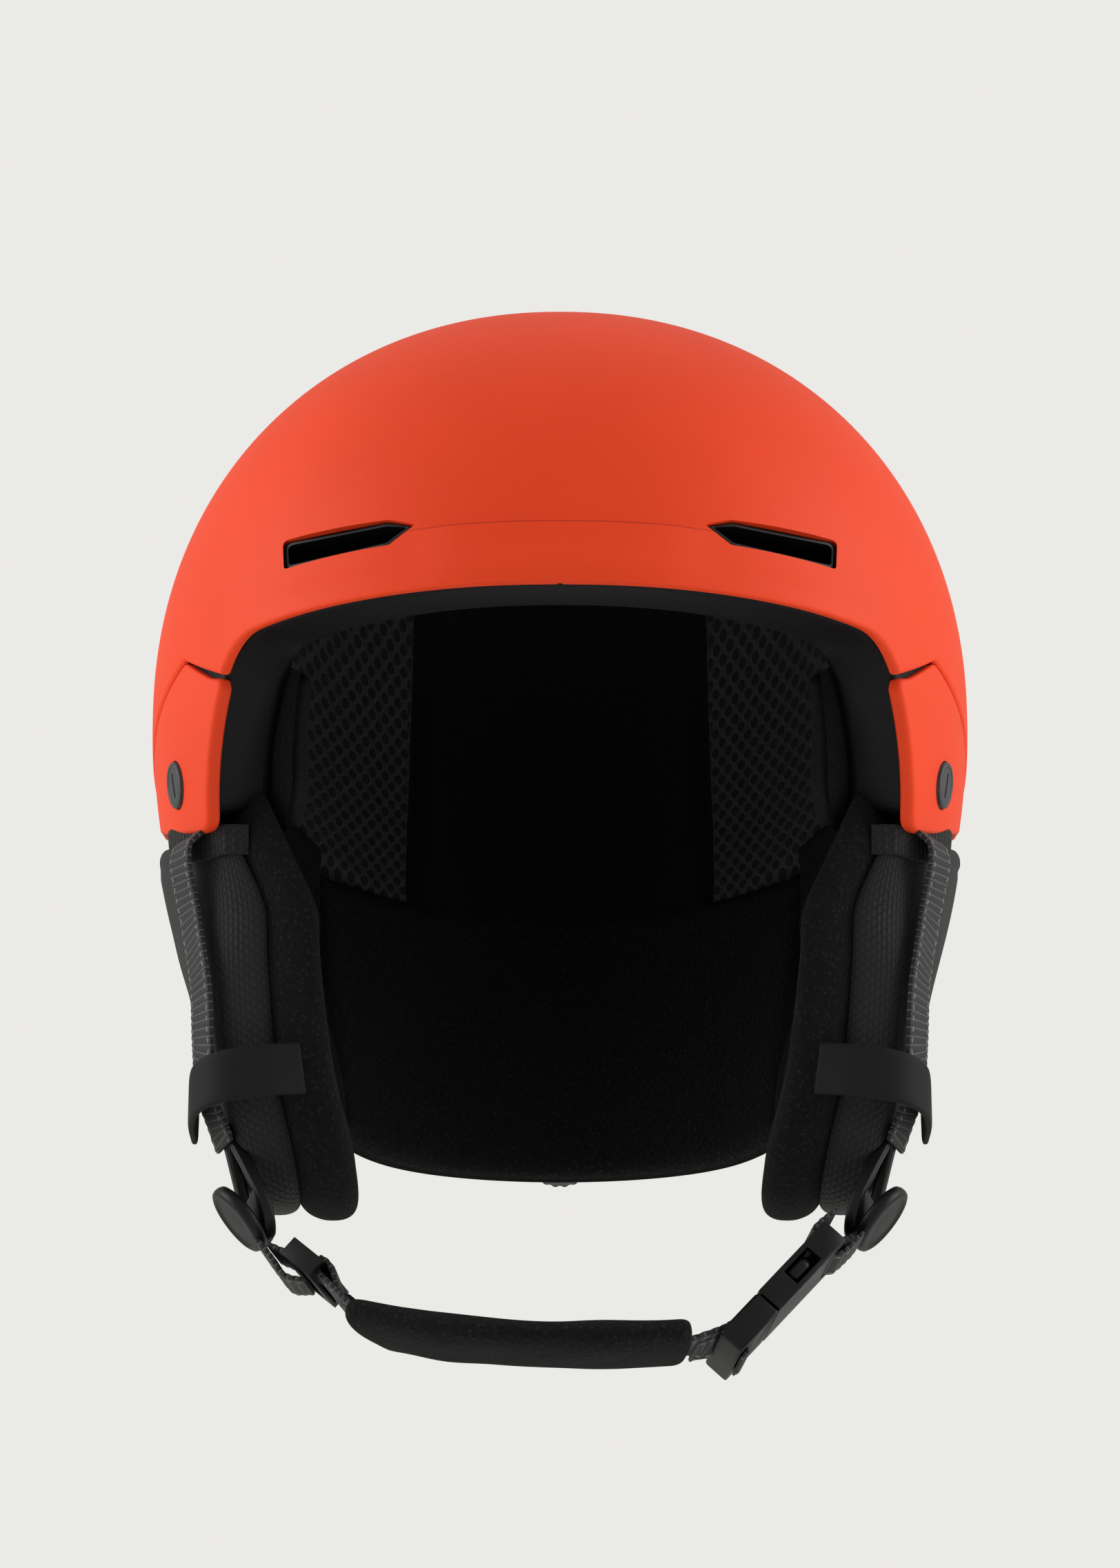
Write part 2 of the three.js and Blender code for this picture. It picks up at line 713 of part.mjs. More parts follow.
// ---------------------------------------------------------------- chin strap
const strapEnd = V(-73.2, -43.5, -150.6);
const lowerStrap = ribbon(
  [strapEnd, V(-63, -46.5, -156), V(-55.5, -52, -165.5), V(-51.6, -55.6, -172)],
  [V(-0.5, 0, -0.86), V(-0.62, 0, -0.78), V(-0.75, 0, -0.6), V(-0.6, 0, -0.75)],
);
const lookDown = V(0, -0.12, -1);
const chinPath = [V(-51, -56, -173), V(-30, -64.5, -179.6), V(-6, -68, -181.8), V(14, -67.6, -181.8)];
const chinPadEnd = V(29, -66, -180);
const chinPad = ribbon(
  [...chinPath, chinPadEnd],
  [V(-0.3, -0.1, -0.95), lookDown, lookDown, lookDown, V(0.08, -0.1, -1)],
  { width: 27, thickness: 6, steps: 14 },
);
const pullStrap = ribbon(
  [V(30.4, -65.6, -179.8), V(32, -65.2, -179.3), V(34.2, -64.4, -178.2)],
  [lookDown, V(0.2, 0, -1), V(0.4, 0, -0.9)],
  { steps: 3 },
);
add("lower_strap_right", lowerStrap, webbing);
add("chin_pad", chinPad, plush);
add("chin_strap_end", pullStrap, webbing);

// Strap adjuster on the wearer's right: a bar frame that the strap doubles through.
const adjusterAt = V(-62.6, -46.8, -156.4);
const adjusterAlong = V(0.72, -0.4, -0.68);
const adjusterFrame = facingFrame(adjusterAt, V(-0.66, 0.02, -0.75), adjusterAlong);
const bar = (x, y, z, dx, dy, dz) =>
  block([x - dx / 2, y - dy / 2, z - dz / 2], [x + dx / 2, y + dy / 2, z + dz / 2]);
const adjusterBody = bar(0, 0, 0, 11, 20, 5.4)
  .subtract(bar(0, 0, 0, 12, 16.6, 3.8))
  .subtract(bar(0, 0, 3, 5, 16.2, 6));
const placed = (body, frame) => geometryOf(body).applyMatrix4(frame);
add("strap_adjuster", placed(adjusterBody, adjusterFrame), blackPlastic);

// ---------------------------------------------------------------- side-release buckle
// Its own frame: +z is the way the plug goes in, +x is across and +y is towards the chin.
const seam = V(50.5, -58, -170);
const plugIn = V(0.66, 0.2, 0.724);
const buckleFrame = facingFrame(seam, plugIn, V(0, 1, 0));
const buckleWidth = 24;
const buckleDepth = 7.2;
const socketLength = 26;
const socket = bar(0, 0, socketLength / 2 + 0.3, buckleWidth, buckleDepth, socketLength)
  .subtract(bar(0, 0, 9, 20, 4.2, 19))
  .subtract(bar(0, 0, 13.2, buckleWidth + 2, 4.6, 9.4))
  .subtract(bar(0, 0, 23, 16.4, buckleDepth + 2, 2.6));
add("buckle_socket", placed(socket, buckleFrame), blackPlastic);
const plug = bar(0, 0, -7.5, buckleWidth, buckleDepth, 15)
  .subtract(bar(0, 0, -9.5, 16.4, buckleDepth + 2, 4))
  .add(bar(0, 0, 5, 3, 3, 11));
add("buckle_plug", placed(plug, buckleFrame), blackPlastic);
// A springy arm with the thumb pad and the catch at its end, in the socket's side window.
const prongShape = outline([4.6, 0.4], [6.9, 0.4], [7.6, 9], [11.7, 9.2], [11.9, 14.5], [8.6, 17.2], [5.4, 16.6], [5, 10]);
const buckleSide = new THREE.Matrix4().makeBasis(V(1, 0, 0), V(0, 0, 1), V(0, -1, 0));
const prong = prism(prongShape, -1.7, 1.7, buckleSide);
add("buckle_prong_rear", prong.clone().applyMatrix4(buckleFrame), blackPlastic);
const flipAcross = new THREE.Matrix4().makeScale(-1, -1, 1);
add("buckle_prong_front", prong.clone().applyMatrix4(flipAcross).applyMatrix4(buckleFrame), blackPlastic);

export default helmet;
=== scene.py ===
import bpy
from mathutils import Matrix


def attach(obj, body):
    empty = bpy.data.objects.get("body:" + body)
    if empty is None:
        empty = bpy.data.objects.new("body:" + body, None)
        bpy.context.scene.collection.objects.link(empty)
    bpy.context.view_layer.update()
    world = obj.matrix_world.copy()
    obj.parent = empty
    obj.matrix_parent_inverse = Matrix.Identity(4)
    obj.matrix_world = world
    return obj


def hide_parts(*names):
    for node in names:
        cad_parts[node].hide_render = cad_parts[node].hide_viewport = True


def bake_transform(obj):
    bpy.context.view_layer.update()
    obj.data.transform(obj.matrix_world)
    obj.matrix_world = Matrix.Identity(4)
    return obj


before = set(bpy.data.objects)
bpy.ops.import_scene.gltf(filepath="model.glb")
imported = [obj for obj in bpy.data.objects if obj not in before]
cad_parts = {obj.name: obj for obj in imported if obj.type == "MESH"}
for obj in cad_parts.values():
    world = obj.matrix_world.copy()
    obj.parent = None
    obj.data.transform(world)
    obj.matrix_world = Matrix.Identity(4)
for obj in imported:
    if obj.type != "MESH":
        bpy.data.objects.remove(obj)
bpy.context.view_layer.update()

import math

import bmesh
import bpy
import numpy as np
from mathutils import Matrix, Vector

# ------------------------------------------------------------------ camera
# The helmet is seen from straight in front and a little below, through a long lens, so its
# brim, the pads inside it and the chin strap all show.
CAMERA_AIM = Vector((0, 0, -0.010))
CAMERA_DISTANCE = 1.2
CAMERA_TILT = math.radians(18)
lens = bpy.data.cameras.new("camera")
lens.lens = 99.8
camera = bpy.data.objects.new("camera", lens)
bpy.context.scene.collection.objects.link(camera)
backwards = Vector((0, -math.cos(CAMERA_TILT), -math.sin(CAMERA_TILT)))
camera.location = CAMERA_AIM + CAMERA_DISTANCE * backwards
camera.rotation_euler = (-backwards).to_track_quat("-Z", "Y").to_euler()
bpy.context.scene.camera = camera
bpy.context.scene.view_settings.view_transform = "Standard"

# ------------------------------------------------------------------ room
# A pale floor lies well below the helmet, which hangs as if worn. The walls are plain pale
# light, with a large soft lamp on each side and a weak one above.
FLOOR_LEVEL = -0.62
floor_mesh = bpy.data.meshes.new("floor")
floor_mesh.from_pydata(
    [(6 * math.cos(a), 6 * math.sin(a), FLOOR_LEVEL) for a in np.linspace(0, math.tau, 65)[:-1]],
    [],
    [tuple(range(64))],
)
floor = bpy.data.objects.new("floor", floor_mesh)
bpy.context.scene.collection.objects.link(floor)
paper = bpy.data.materials.new("paper")
paper.use_nodes = True
paper.node_tree.nodes["Principled BSDF"].inputs["Base Color"].default_value = (0.8, 0.79, 0.77, 1)
paper.node_tree.nodes["Principled BSDF"].inputs["Roughness"].default_value = 0.9
floor_mesh.materials.append(paper)

world = bpy.data.worlds.new("walls")
bpy.context.scene.world = world
world.use_nodes = True
sky = world.node_tree
sky.nodes.clear()
wall_seen = sky.nodes.new("ShaderNodeBackground")
wall_seen.inputs["Color"].default_value = (0.83, 0.823, 0.795, 1)
wall_light = sky.nodes.new("ShaderNodeBackground")
wall_light.inputs["Color"].default_value = (1, 0.99, 0.97, 1)
wall_light.inputs["Strength"].default_value = 0.5
ray = sky.nodes.new("ShaderNodeLightPath")
choose = sky.nodes.new("ShaderNodeMixShader")
sky_out = sky.nodes.new("ShaderNodeOutputWorld")
sky.links.new(ray.outputs["Is Camera Ray"], choose.inputs[0])
sky.links.new(wall_light.outputs[0], choose.inputs[1])
sky.links.new(wall_seen.outputs[0], choose.inputs[2])
sky.links.new(choose.outputs[0], sky_out.inputs[0])


def softbox(name, place, size, watts):
    lamp = bpy.data.lights.new(name, "AREA")
    lamp.shape = "RECTANGLE"
    lamp.size, lamp.size_y = size
    lamp.energy = watts
    box = bpy.data.objects.new(name, lamp)
    bpy.context.scene.collection.objects.link(box)
    box.location = place
    box.rotation_euler = (-Vector(place)).to_track_quat("-Z", "Y").to_euler()


softbox("softbox_left", (-2.0, -0.3, 0.6), (1.4, 1.8), 27)
softbox("softbox_right", (2.0, -0.3, 0.6), (1.4, 1.8), 27)
softbox("softbox_above", (0, 0.5, 2.2), (1.6, 1.0), 2)

# ------------------------------------------------------------------ outer shell
# One shell of hard plastic, painted a satin orange, from the brow to the nape. It is a
# rounded dome with a band along the brow, two slots for air in front and two behind.
HALF_WIDTH = 0.112
FRONT_REACH = 0.129
BACK_REACH = 0.137
CROWN_RISE = 0.111
LOWER_DROP = 0.135
WIDEST_HEIGHT = 0.005
FULLNESS = 2.12
BRIM_FLARE = 0.003
SHELL_THICKNESS = 0.0024
SEAM_GAP = 0.0005


def smooth(low, high, value):
    t = np.clip((np.asarray(value, float) - low) / (high - low), 0, 1)
    return t * t * (3 - 2 * t)


def unit(v):
    return v / np.maximum(np.linalg.norm(v, axis=-1, keepdims=True), 1e-12)


def reaches(way, inset):
    """Half width, reach forward or back and reach up or down of the form along a way."""
    front_or_back = np.where(way[..., 1] < 0, FRONT_REACH, BACK_REACH) - inset
    up_or_down = np.where(way[..., 2] > 0, CROWN_RISE, LOWER_DROP) - inset
    return HALF_WIDTH - inset, front_or_back, up_or_down


def form(way, inset=0.0, brim=True):
    """Points of the helmet's form, offset inwards by inset; way is a unit direction before
    the form is stretched to its reaches."""
    a, b, c = reaches(way, inset)
    scale = (np.abs(way) ** FULLNESS).sum(-1) ** (-1 / FULLNESS)
    p = np.stack([way[..., 0] * a, way[..., 1] * b, way[..., 2] * c], -1) * scale[..., None]
    p[..., 2] += WIDEST_HEIGHT
    if brim:
        near_edge = np.exp(-((p[..., 2] / 0.009) ** 2))
        p[..., 1] -= BRIM_FLARE * near_edge * smooth(0.07, 0.11, -p[..., 1])
    return p


def way_at(y, z, inset=0.0, side=1):
    """The direction whose form point has this y and z, on the side of +x or -x."""
    y = np.asarray(y, float)
    z = np.asarray(z, float) - WIDEST_HEIGHT
    b = np.where(y < 0, FRONT_REACH, BACK_REACH) - inset
    c = np.where(z > 0, CROWN_RISE, LOWER_DROP) - inset
    left = 1 - np.abs(y / b) ** FULLNESS - np.abs(z / c) ** FULLNESS
    return unit(np.stack([side * np.maximum(left, 0) ** (1 / FULLNESS), y / b, z / c], -1))


def form_normal(way, inset=0.0, brim=True):
    e = 1e-4
    aside = unit(np.cross(way, np.where(np.abs(way[..., 2:]) > 0.9, [1.0, 0, 0], [0, 0, 1.0])))
    other = np.cross(way, aside)
    du = form(unit(way + e * aside), inset, brim) - form(unit(way - e * aside), inset, brim)
    dv = form(unit(way + e * other), inset, brim) - form(unit(way - e * other), inset, brim)
    n = unit(np.cross(du, dv))
    return n * np.sign((n * way).sum(-1, keepdims=True))


def trace(*parts, step=0.0012):
    """Points (y, z) along straight and curved parts, an even step apart, corners kept.
    A part is a list of 2, 3 or 4 control points, each part starting where the last ended."""
    line = []
    for part in parts:
        k = np.array(part, float)
        t = np.linspace(0, 1, 200)[:, None]
        order = len(k) - 1
        curve = sum(
            math.comb(order, i) * t**i * (1 - t) ** (order - i) * k[i] for i in range(order + 1)
        )
        run = np.r_[0, np.cumsum(np.linalg.norm(np.diff(curve, axis=0), axis=1))]
        count = max(2, int(round(run[-1] / step)))
        even = np.linspace(0, run[-1], count + 1)
        spaced = np.stack([np.interp(even, run, curve[:, i]) for i in range(2)], 1)
        line += list(spaced if not line else spaced[1:])
    return np.array(line)


def mesh_piece(name, points, faces, closed_normals=True):
    mesh = bpy.data.meshes.new(name)
    mesh.from_pydata([tuple(p) for p in points], [], faces)
    mesh.validate()
    piece = bpy.data.objects.new(name, mesh)
    bpy.context.scene.collection.objects.link(piece)
    mesh.polygons.foreach_set("use_smooth", [True] * len(mesh.polygons))
    if closed_normals:
        work = bmesh.new()
        work.from_mesh(mesh)
        bmesh.ops.remove_doubles(work, verts=work.verts, dist=1e-6)
        bmesh.ops.recalc_face_normals(work, faces=work.faces)
        work.to_mesh(mesh)
        work.free()
    return piece


def grid_faces(rows, columns, wrap_rows=False, wrap_columns=False):
    faces = []
    for i in range(rows if wrap_rows else rows - 1):
        for j in range(columns if wrap_columns else columns - 1):
            k, m = (i + 1) % rows, (j + 1) % columns
            faces.append((i * columns + j, i * columns + m, k * columns + m, k * columns + j))
    return faces


def sharpen(piece, degrees=32):
    piece.data.set_sharp_from_angle(angle=math.radians(degrees))


def full_loop(half):
    """(y, z) down the wearer's left from the front, and back up the right, with the side."""
    left = [(y, z, 1) for y, z in half]
    right = [(y, z, -1) for y, z in half[-2:0:-1]]
    return np.array(left + right)


def edge_ways(half, inset):
    loop = full_loop(half)
    ways = way_at(loop[:, 0], loop[:, 1], inset)
    ways[:, 0] *= loop[:, 2]
    return ways


def dome_rows(ways, spacing):
    """Directions from the lower edge to the crown, one row for each entry of spacing."""
    turn = np.arctan2(ways[:, 1], ways[:, 0])
    lean = np.arccos(np.clip(ways[:, 2], -1, 1))
    lean_rows = lean[None, :] * (1 - spacing[:, None])
    return np.stack(
        [np.sin(lean_rows) * np.cos(turn), np.sin(lean_rows) * np.sin(turn), np.cos(lean_rows)], -1
    )


def dome_shell(name, half, outside, inside, lip, relief=None, rows=(40, 60), brim=True):
    """A closed shell between two insets of the form, its lower edge along half, rounded by lip."""
    edge = edge_ways(half, outside)
    near = np.linspace(0, 0.24, rows[0] + 1)[:-1]
    far = np.linspace(0.24, 1, rows[1] + 1)[:-1]
    spacing = np.r_[near, far]
    around = len(edge)
    outer = dome_rows(edge, spacing)
    normals = form_normal(outer, outside, brim)
    outer_points = form(outer, outside, brim)
    if relief is not None:
        outer_points = outer_points + normals * relief(outer_points)[..., None]
    inner_points = form(dome_rows(edge_ways(half, inside), spacing), inside, brim)
    # the edge is drawn back by the lip's radius, and the lip turns through a half circle
    up_out = unit(outer_points[3] - outer_points[0])
    up_in = unit(inner_points[3] - inner_points[0])
    thickness = inner_points[0] - outer_points[0]
    through = unit(thickness)
    half_depth = np.linalg.norm(thickness, axis=1)[:, None] / 2
    r = np.minimum(lip, half_depth)
    hold_out = smooth(0.0, 1.0, np.clip(1 - spacing / 0.05, 0, 1))[:, None, None]
    outer_points += up_out[None] * r[None] * hold_out
    inner_points += up_in[None] * r[None] * hold_out
    turns = np.linspace(0, math.pi / 2, 6)[1:]
    lips = []
    for a in turns:
        lips.append(
            outer_points[0] - up_out * r * math.sin(a) + through * r * (1 - math.cos(a))
        )
    for a in turns[::-1][1:]:
        lips.append(inner_points[0] - up_in * r * math.sin(a) - through * r * (1 - math.cos(a)))
    rings = [*outer_points[::-1], *lips, *inner_points]
    top_out = form(np.array([[0, 0, 1.0]]), outside)[0]
    top_in = form(np.array([[0, 0, 1.0]]), inside)[0]
    points = np.concatenate([np.array(rings).reshape(-1, 3), [top_out, top_in]])
    count = len(rings)
    faces = grid_faces(count, around, wrap_columns=True)
    last = count * around
    for j in range(around):
        m = (j + 1) % around
        faces.append((last, m, j))
        faces.append((last + 1, last - around + j, last - around + m))
    return mesh_piece(name, points, faces)


def mirrored(shape):
    """The same outline on the other side, still going round the same way."""
    return [(-x, z) for x, z in reversed(shape)]


def rounded(corners, radius, steps=5):
    """A closed outline with each corner rounded."""
    k = np.array(corners, float)
    out = []
    for i in range(len(k)):
        before, here, after = k[i - 1], k[i], k[(i + 1) % len(k)]
        r = radius[i] if isinstance(radius, (list, tuple)) else radius
        start = here + (before - here) / np.linalg.norm(before - here) * r
        end = here + (after - here) / np.linalg.norm(after - here) * r
        for t in np.linspace(0, 1, steps + 1):
            out.append(tuple((1 - t) ** 2 * start + 2 * t * (1 - t) * here + t * t * end))
    return out


def front_prism(name, shape, near, far):
    """A cutter: an outline (x, z) seen from in front, run from y near to y far."""
    n = len(shape)
    points = [(x, near, z) for x, z in shape] + [(x, far, z) for x, z in shape]
    faces = [tuple(range(n)), tuple(range(2 * n - 1, n - 1, -1))]
    faces += [(i, (i + 1) % n, n + (i + 1) % n, n + i) for i in range(n)]
    return mesh_piece(name, points, faces)


def carve(piece, cutter, operation="DIFFERENCE"):
    step = piece.modifiers.new("cut", "BOOLEAN")
    step.operation = operation
    step.object = cutter
    step.solver = "EXACT"
    settle(piece)
    bpy.data.objects.remove(cutter)


def settle(piece):
    """Makes a piece's modifiers part of its mesh."""
    bpy.context.view_layer.update()
    shaped = piece.evaluated_get(bpy.context.evaluated_depsgraph_get())
    mesh = bpy.data.meshes.new_from_object(shaped)
    old = piece.data
    piece.modifiers.clear()
    piece.data = mesh
    mesh.name = piece.name
    bpy.data.meshes.remove(old)


BRIM_END = (-0.0834, -0.0076)
SEAM_PEAK = (-0.0645, 0.003)
SEAM_MIDDLE = (-0.036, -0.003)
SEAM_TAIL = (0.020, -0.021)
NAPE_EDGE = -0.074
back_middle = BACK_REACH * (
    1 - abs((NAPE_EDGE - WIDEST_HEIGHT) / LOWER_DROP) ** FULLNESS
) ** (1 / FULLNESS)
front_middle = -FRONT_REACH * (
    1 - abs(WIDEST_HEIGHT / LOWER_DROP) ** FULLNESS
) ** (1 / FULLNESS)
shell_edge = trace(
    [(front_middle, 0), (-0.115, 0)],
    [(-0.115, 0), (-0.095, 0)],
    [(-0.095, 0), (-0.089, 0), BRIM_END],
    [BRIM_END, SEAM_PEAK],
    [SEAM_PEAK, SEAM_MIDDLE],
    [SEAM_MIDDLE, SEAM_TAIL],
    [SEAM_TAIL, (0.050, -0.024), (0.062, NAPE_EDGE), (0.095, NAPE_EDGE)],
    [(0.095, NAPE_EDGE), (back_middle, NAPE_EDGE)],
)


def even_edge(half, inset, step):
    """The same edge with its points evenly apart in space, its corners kept."""
    ways = way_at(half[:, 0], half[:, 1], inset)
    points = form(ways, inset, False)
    run = np.r_[0, np.cumsum(np.linalg.norm(np.diff(points, axis=0), axis=1))]
    turn = np.diff(half, axis=0)
    angle = np.arctan2(turn[:, 1], turn[:, 0])
    corner = [0] + [
        i + 1 for i in range(len(angle) - 1) if abs(angle[i + 1] - angle[i]) > 0.2
    ] + [len(half) - 1]
    stops = []
    for a, b in zip(corner[:-1], corner[1:]):
        count = max(2, int(round((run[b] - run[a]) / step)))
        stops += list(np.linspace(run[a], run[b], count + 1)[: None if b == corner[-1] else -1])
    return np.stack([np.interp(stops, run, half[:, i]) for i in range(2)], 1)


CREASE_HEIGHT = 0.0172
VENT_TIP = 0.0364
BROW_BAND_PROUD = 0.0011


def brow_band(p):
    """The band between the crease and the brim stands a little proud, most in the middle."""
    aside = np.abs(p[..., 0])
    below = smooth(CREASE_HEIGHT + 0.0007, CREASE_HEIGHT - 0.0005, p[..., 2])
    middle = 1 - smooth(VENT_TIP - 0.012, VENT_TIP + 0.004, aside)
    fade = smooth(-0.004, 0.010, p[..., 2])
    in_front = smooth(0.05, 0.08, -p[..., 1])
    return BROW_BAND_PROUD * below * middle * (0.35 + 0.65 * fade) * in_front


shell_half = even_edge(shell_edge, 0, 0.0016)
shell = dome_shell(
    "hard_shell", shell_half, 0, SHELL_THICKNESS, 0.0012, relief=brow_band, rows=(46, 56)
)


def vent_outline(low, high, tip, outer, grow=0.0):
    middle = (low + high) / 2 + 0.0012
    shoulder = tip + 0.0067
    corners = [
        (tip - grow * 1.6, middle),
        (shoulder - grow * 0.5, high + grow),
        (outer - 0.0005 + grow, high + 0.0012 + grow),
        (outer - 0.001 + grow, low - grow),
        (shoulder - grow * 0.5, low - grow),
    ]
    return rounded(corners[::-1], [0.0006, 0.001, 0.0016, 0.001, 0.0006])


BROW_VENT = (0.0140, 0.0212, VENT_TIP, 0.0715)
REAR_VENT = (0.038, 0.045, 0.014, 0.046)


def cut_vents(piece):
    """Cuts the four air slots straight through a piece, from in front and from behind."""
    for vent, near, far in ((BROW_VENT, -0.2, -0.04), (REAR_VENT, 0.04, 0.2)):
        for shape in (vent_outline(*vent), mirrored(vent_outline(*vent))):
            carve(piece, front_prism("cutter", shape, near, far))


cut_vents(shell)
sharpen(shell)


def node_maker(tree):
    """Makes nodes in one tree, with values for their sockets and settings by name."""

    def node(kind, **values):
        made = tree.nodes.new("ShaderNode" + kind)
        for key, value in values.items():
            if key in made.inputs:
                made.inputs[key].default_value = value
            else:
                setattr(made, key, value)
        return made

    return node


def new_material(name):
    """A material with its surface shader, and a maker of nodes already placed in it."""
    material = bpy.data.materials.new(name)
    material.use_nodes = True
    tree = material.node_tree
    return material, tree.nodes["Principled BSDF"], node_maker(tree), tree.links.new


def effect(name, inputs, outputs):
    """An empty node group with named sockets: (name, kind, default) in, (name, kind) out."""
    group = bpy.data.node_groups.new(name, "ShaderNodeTree")
    for label, kind, default in inputs:
        socket = group.interface.new_socket(label, in_out="INPUT", socket_type="NodeSocket" + kind)
        socket.default_value = default
    for label, kind in outputs:
        group.interface.new_socket(label, in_out="OUTPUT", socket_type="NodeSocket" + kind)
    start = group.nodes.new("NodeGroupInput")
    end = group.nodes.new("NodeGroupOutput")
    return group, start.outputs, end.inputs, node_maker(group), group.links.new


# Fine grain: a low noise that tilts the surface and shifts its shade a little.
grain, into, out, node, link = effect(
    "fine_grain",
    [("Size", "Float", 2500.0), ("Shade", "Float", 0.06), ("Color", "Color", (1, 1, 1, 1))],
    [("Color", "Color"), ("Height", "Float")],
)
place = node("TexCoord")
speck = node("TexNoise", Detail=3.0, Roughness=0.6)
link(place.outputs["Object"], speck.inputs["Vector"])
link(into["Size"], speck.inputs["Scale"])
cloud = node("TexNoise", Scale=18.0, Detail=2.0)
link(place.outputs["Object"], cloud.inputs["Vector"])
both = node("Math", operation="ADD")
link(speck.outputs["Fac"], both.inputs[0])
link(cloud.outputs["Fac"], both.inputs[1])
swing = node("MapRange")
swing.inputs["From Min"].default_value = 0.6
swing.inputs["From Max"].default_value = 1.4
link(both.outputs[0], swing.inputs["Value"])
low_side = node("Math", operation="SUBTRACT")
low_side.inputs[0].default_value = 1.0
link(into["Shade"], low_side.inputs[1])
high_side = node("Math", operation="ADD")
high_side.inputs[0].default_value = 1.0
link(into["Shade"], high_side.inputs[1])
link(low_side.outputs[0], swing.inputs["To Min"])
link(high_side.outputs[0], swing.inputs["To Max"])
shade = node("VectorMath", operation="SCALE")
link(into["Color"], shade.inputs[0])
link(swing.outputs[0], shade.inputs["Scale"])
link(shade.outputs[0], out["Color"])
link(speck.outputs["Fac"], out["Height"])

# Edge wear: a mask that is high on outward edges, broken up by noise.
wear, into, out, node, link = effect(
    "edge_wear", [("Reach", "Float", 0.56), ("Break", "Float", 300.0)], [("Mask", "Float")]
)
shape_info = node("NewGeometry")
rub = node("MapRange")
link(into["Reach"], rub.inputs["From Min"])
rub.inputs["From Max"].default_value = 0.75
link(shape_info.outputs["Pointiness"], rub.inputs["Value"])
place = node("TexCoord")
patch = node("TexNoise", Detail=4.0)
link(place.outputs["Object"], patch.inputs["Vector"])
link(into["Break"], patch.inputs["Scale"])
both = node("Math", operation="MULTIPLY")
link(rub.outputs[0], both.inputs[0])
link(patch.outputs["Fac"], both.inputs[1])
link(both.outputs[0], out["Mask"])


def hard_material(name, color, roughness, worn, grain_size=2500.0, shade=0.06, bump=0.00002):
    """Moulded or painted plastic: fine grain, and edges rubbed to a lighter colour."""
    material, surface, node, link = new_material(name)
    grained = node("Group", node_tree=grain)
    grained.inputs["Size"].default_value = grain_size
    grained.inputs["Shade"].default_value = shade
    grained.inputs["Color"].default_value = (*color, 1)
    rubbed = node("Group", node_tree=wear)
    blend = node("Mix", data_type="RGBA")
    link(rubbed.outputs["Mask"], blend.inputs["Factor"])
    link(grained.outputs["Color"], blend.inputs["A"])
    blend.inputs["B"].default_value = (*worn, 1)
    link(blend.outputs["Result"], surface.inputs["Base Color"])
    rough = node("MapRange")
    rough.inputs["To Min"].default_value = roughness - 0.05
    rough.inputs["To Max"].default_value = roughness + 0.05
    link(grained.outputs["Height"], rough.inputs["Value"])
    link(rough.outputs[0], surface.inputs["Roughness"])
    dents = node("Bump", Distance=bump)
    link(grained.outputs["Height"], dents.inputs["Height"])
    link(dents.outputs[0], surface.inputs["Normal"])
    return material, surface


SHELL_ORANGE = (0.88, 0.058, 0.009)
orange, surface = hard_material(
    "orange_paint", SHELL_ORANGE, 0.58, (0.88, 0.11, 0.03), 2600.0, 0.07, 0.00003
)
surface.inputs["Specular IOR Level"].default_value = 0.24


def dress(piece, *materials):
    piece.data.materials.clear()
    for material in materials:
        piece.data.materials.append(material)


def fit(piece, body, slot, *nodes):
    """Fixes a piece to its body, in place of the plain nodes it stands for."""
    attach(piece, body)
    if nodes:
        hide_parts(*nodes)


# The crease over the brow is a sharp step in the mould; the thin shadow in its corner is painted
# into the orange as a dark line.
CREASE_HALF_LENGTH = 0.046
CREASE_HALF_WIDTH = 0.0004
CREASE_SHADOW = (0.34, 0.020, 0.006, 1)
node, link = node_maker(orange.node_tree), orange.node_tree.links.new
place = node("TexCoord")
parts = node("SeparateXYZ")
link(place.outputs["Object"], parts.inputs[0])
aside = node("Math", operation="ABSOLUTE")
link(parts.outputs["X"], aside.inputs[0])
above = node("Math", operation="SUBTRACT")
link(parts.outputs["Z"], above.inputs[0])
above.inputs[1].default_value = CREASE_HEIGHT
away = node("Math", operation="ABSOLUTE")
link(above.outputs[0], away.inputs[0])
masks = []
for source, low, high in (
    (aside.outputs[0], CREASE_HALF_LENGTH, 0.022),
    (away.outputs[0], CREASE_HALF_WIDTH, 0.0001),
    (parts.outputs["Y"], -0.06, -0.08),
):
    near = node("MapRange")
    near.inputs["From Min"].default_value = low
    near.inputs["From Max"].default_value = high
    link(source, near.inputs["Value"])
    masks.append(near.outputs[0])
both = masks[0]
for mask in masks[1:]:
    product = node("Math", operation="MULTIPLY")
    link(both, product.inputs[0])
    link(mask, product.inputs[1])
    both = product.outputs[0]
# Painted shadow: along the crease the orange is mixed towards the dark shadow colour.
crease_painted_shadow = node("Mix", data_type="RGBA")
link(both, crease_painted_shadow.inputs["Factor"])
paint = surface.inputs["Base Color"]
link(paint.links[0].from_socket, crease_painted_shadow.inputs["A"])
crease_painted_shadow.inputs["B"].default_value = CREASE_SHADOW
link(crease_painted_shadow.outputs["Result"], paint)

dress(shell, orange)
fit(shell, "shell", "shell_orange", "outer_shell")

# ------------------------------------------------------------------ side panels
# A separate moulding below the shell at each temple, in the same orange paint. Its front edge
# is a broad round that turns in over the foam, and its top tucks under the shell's edge.
PANEL_INSET = 0.0004


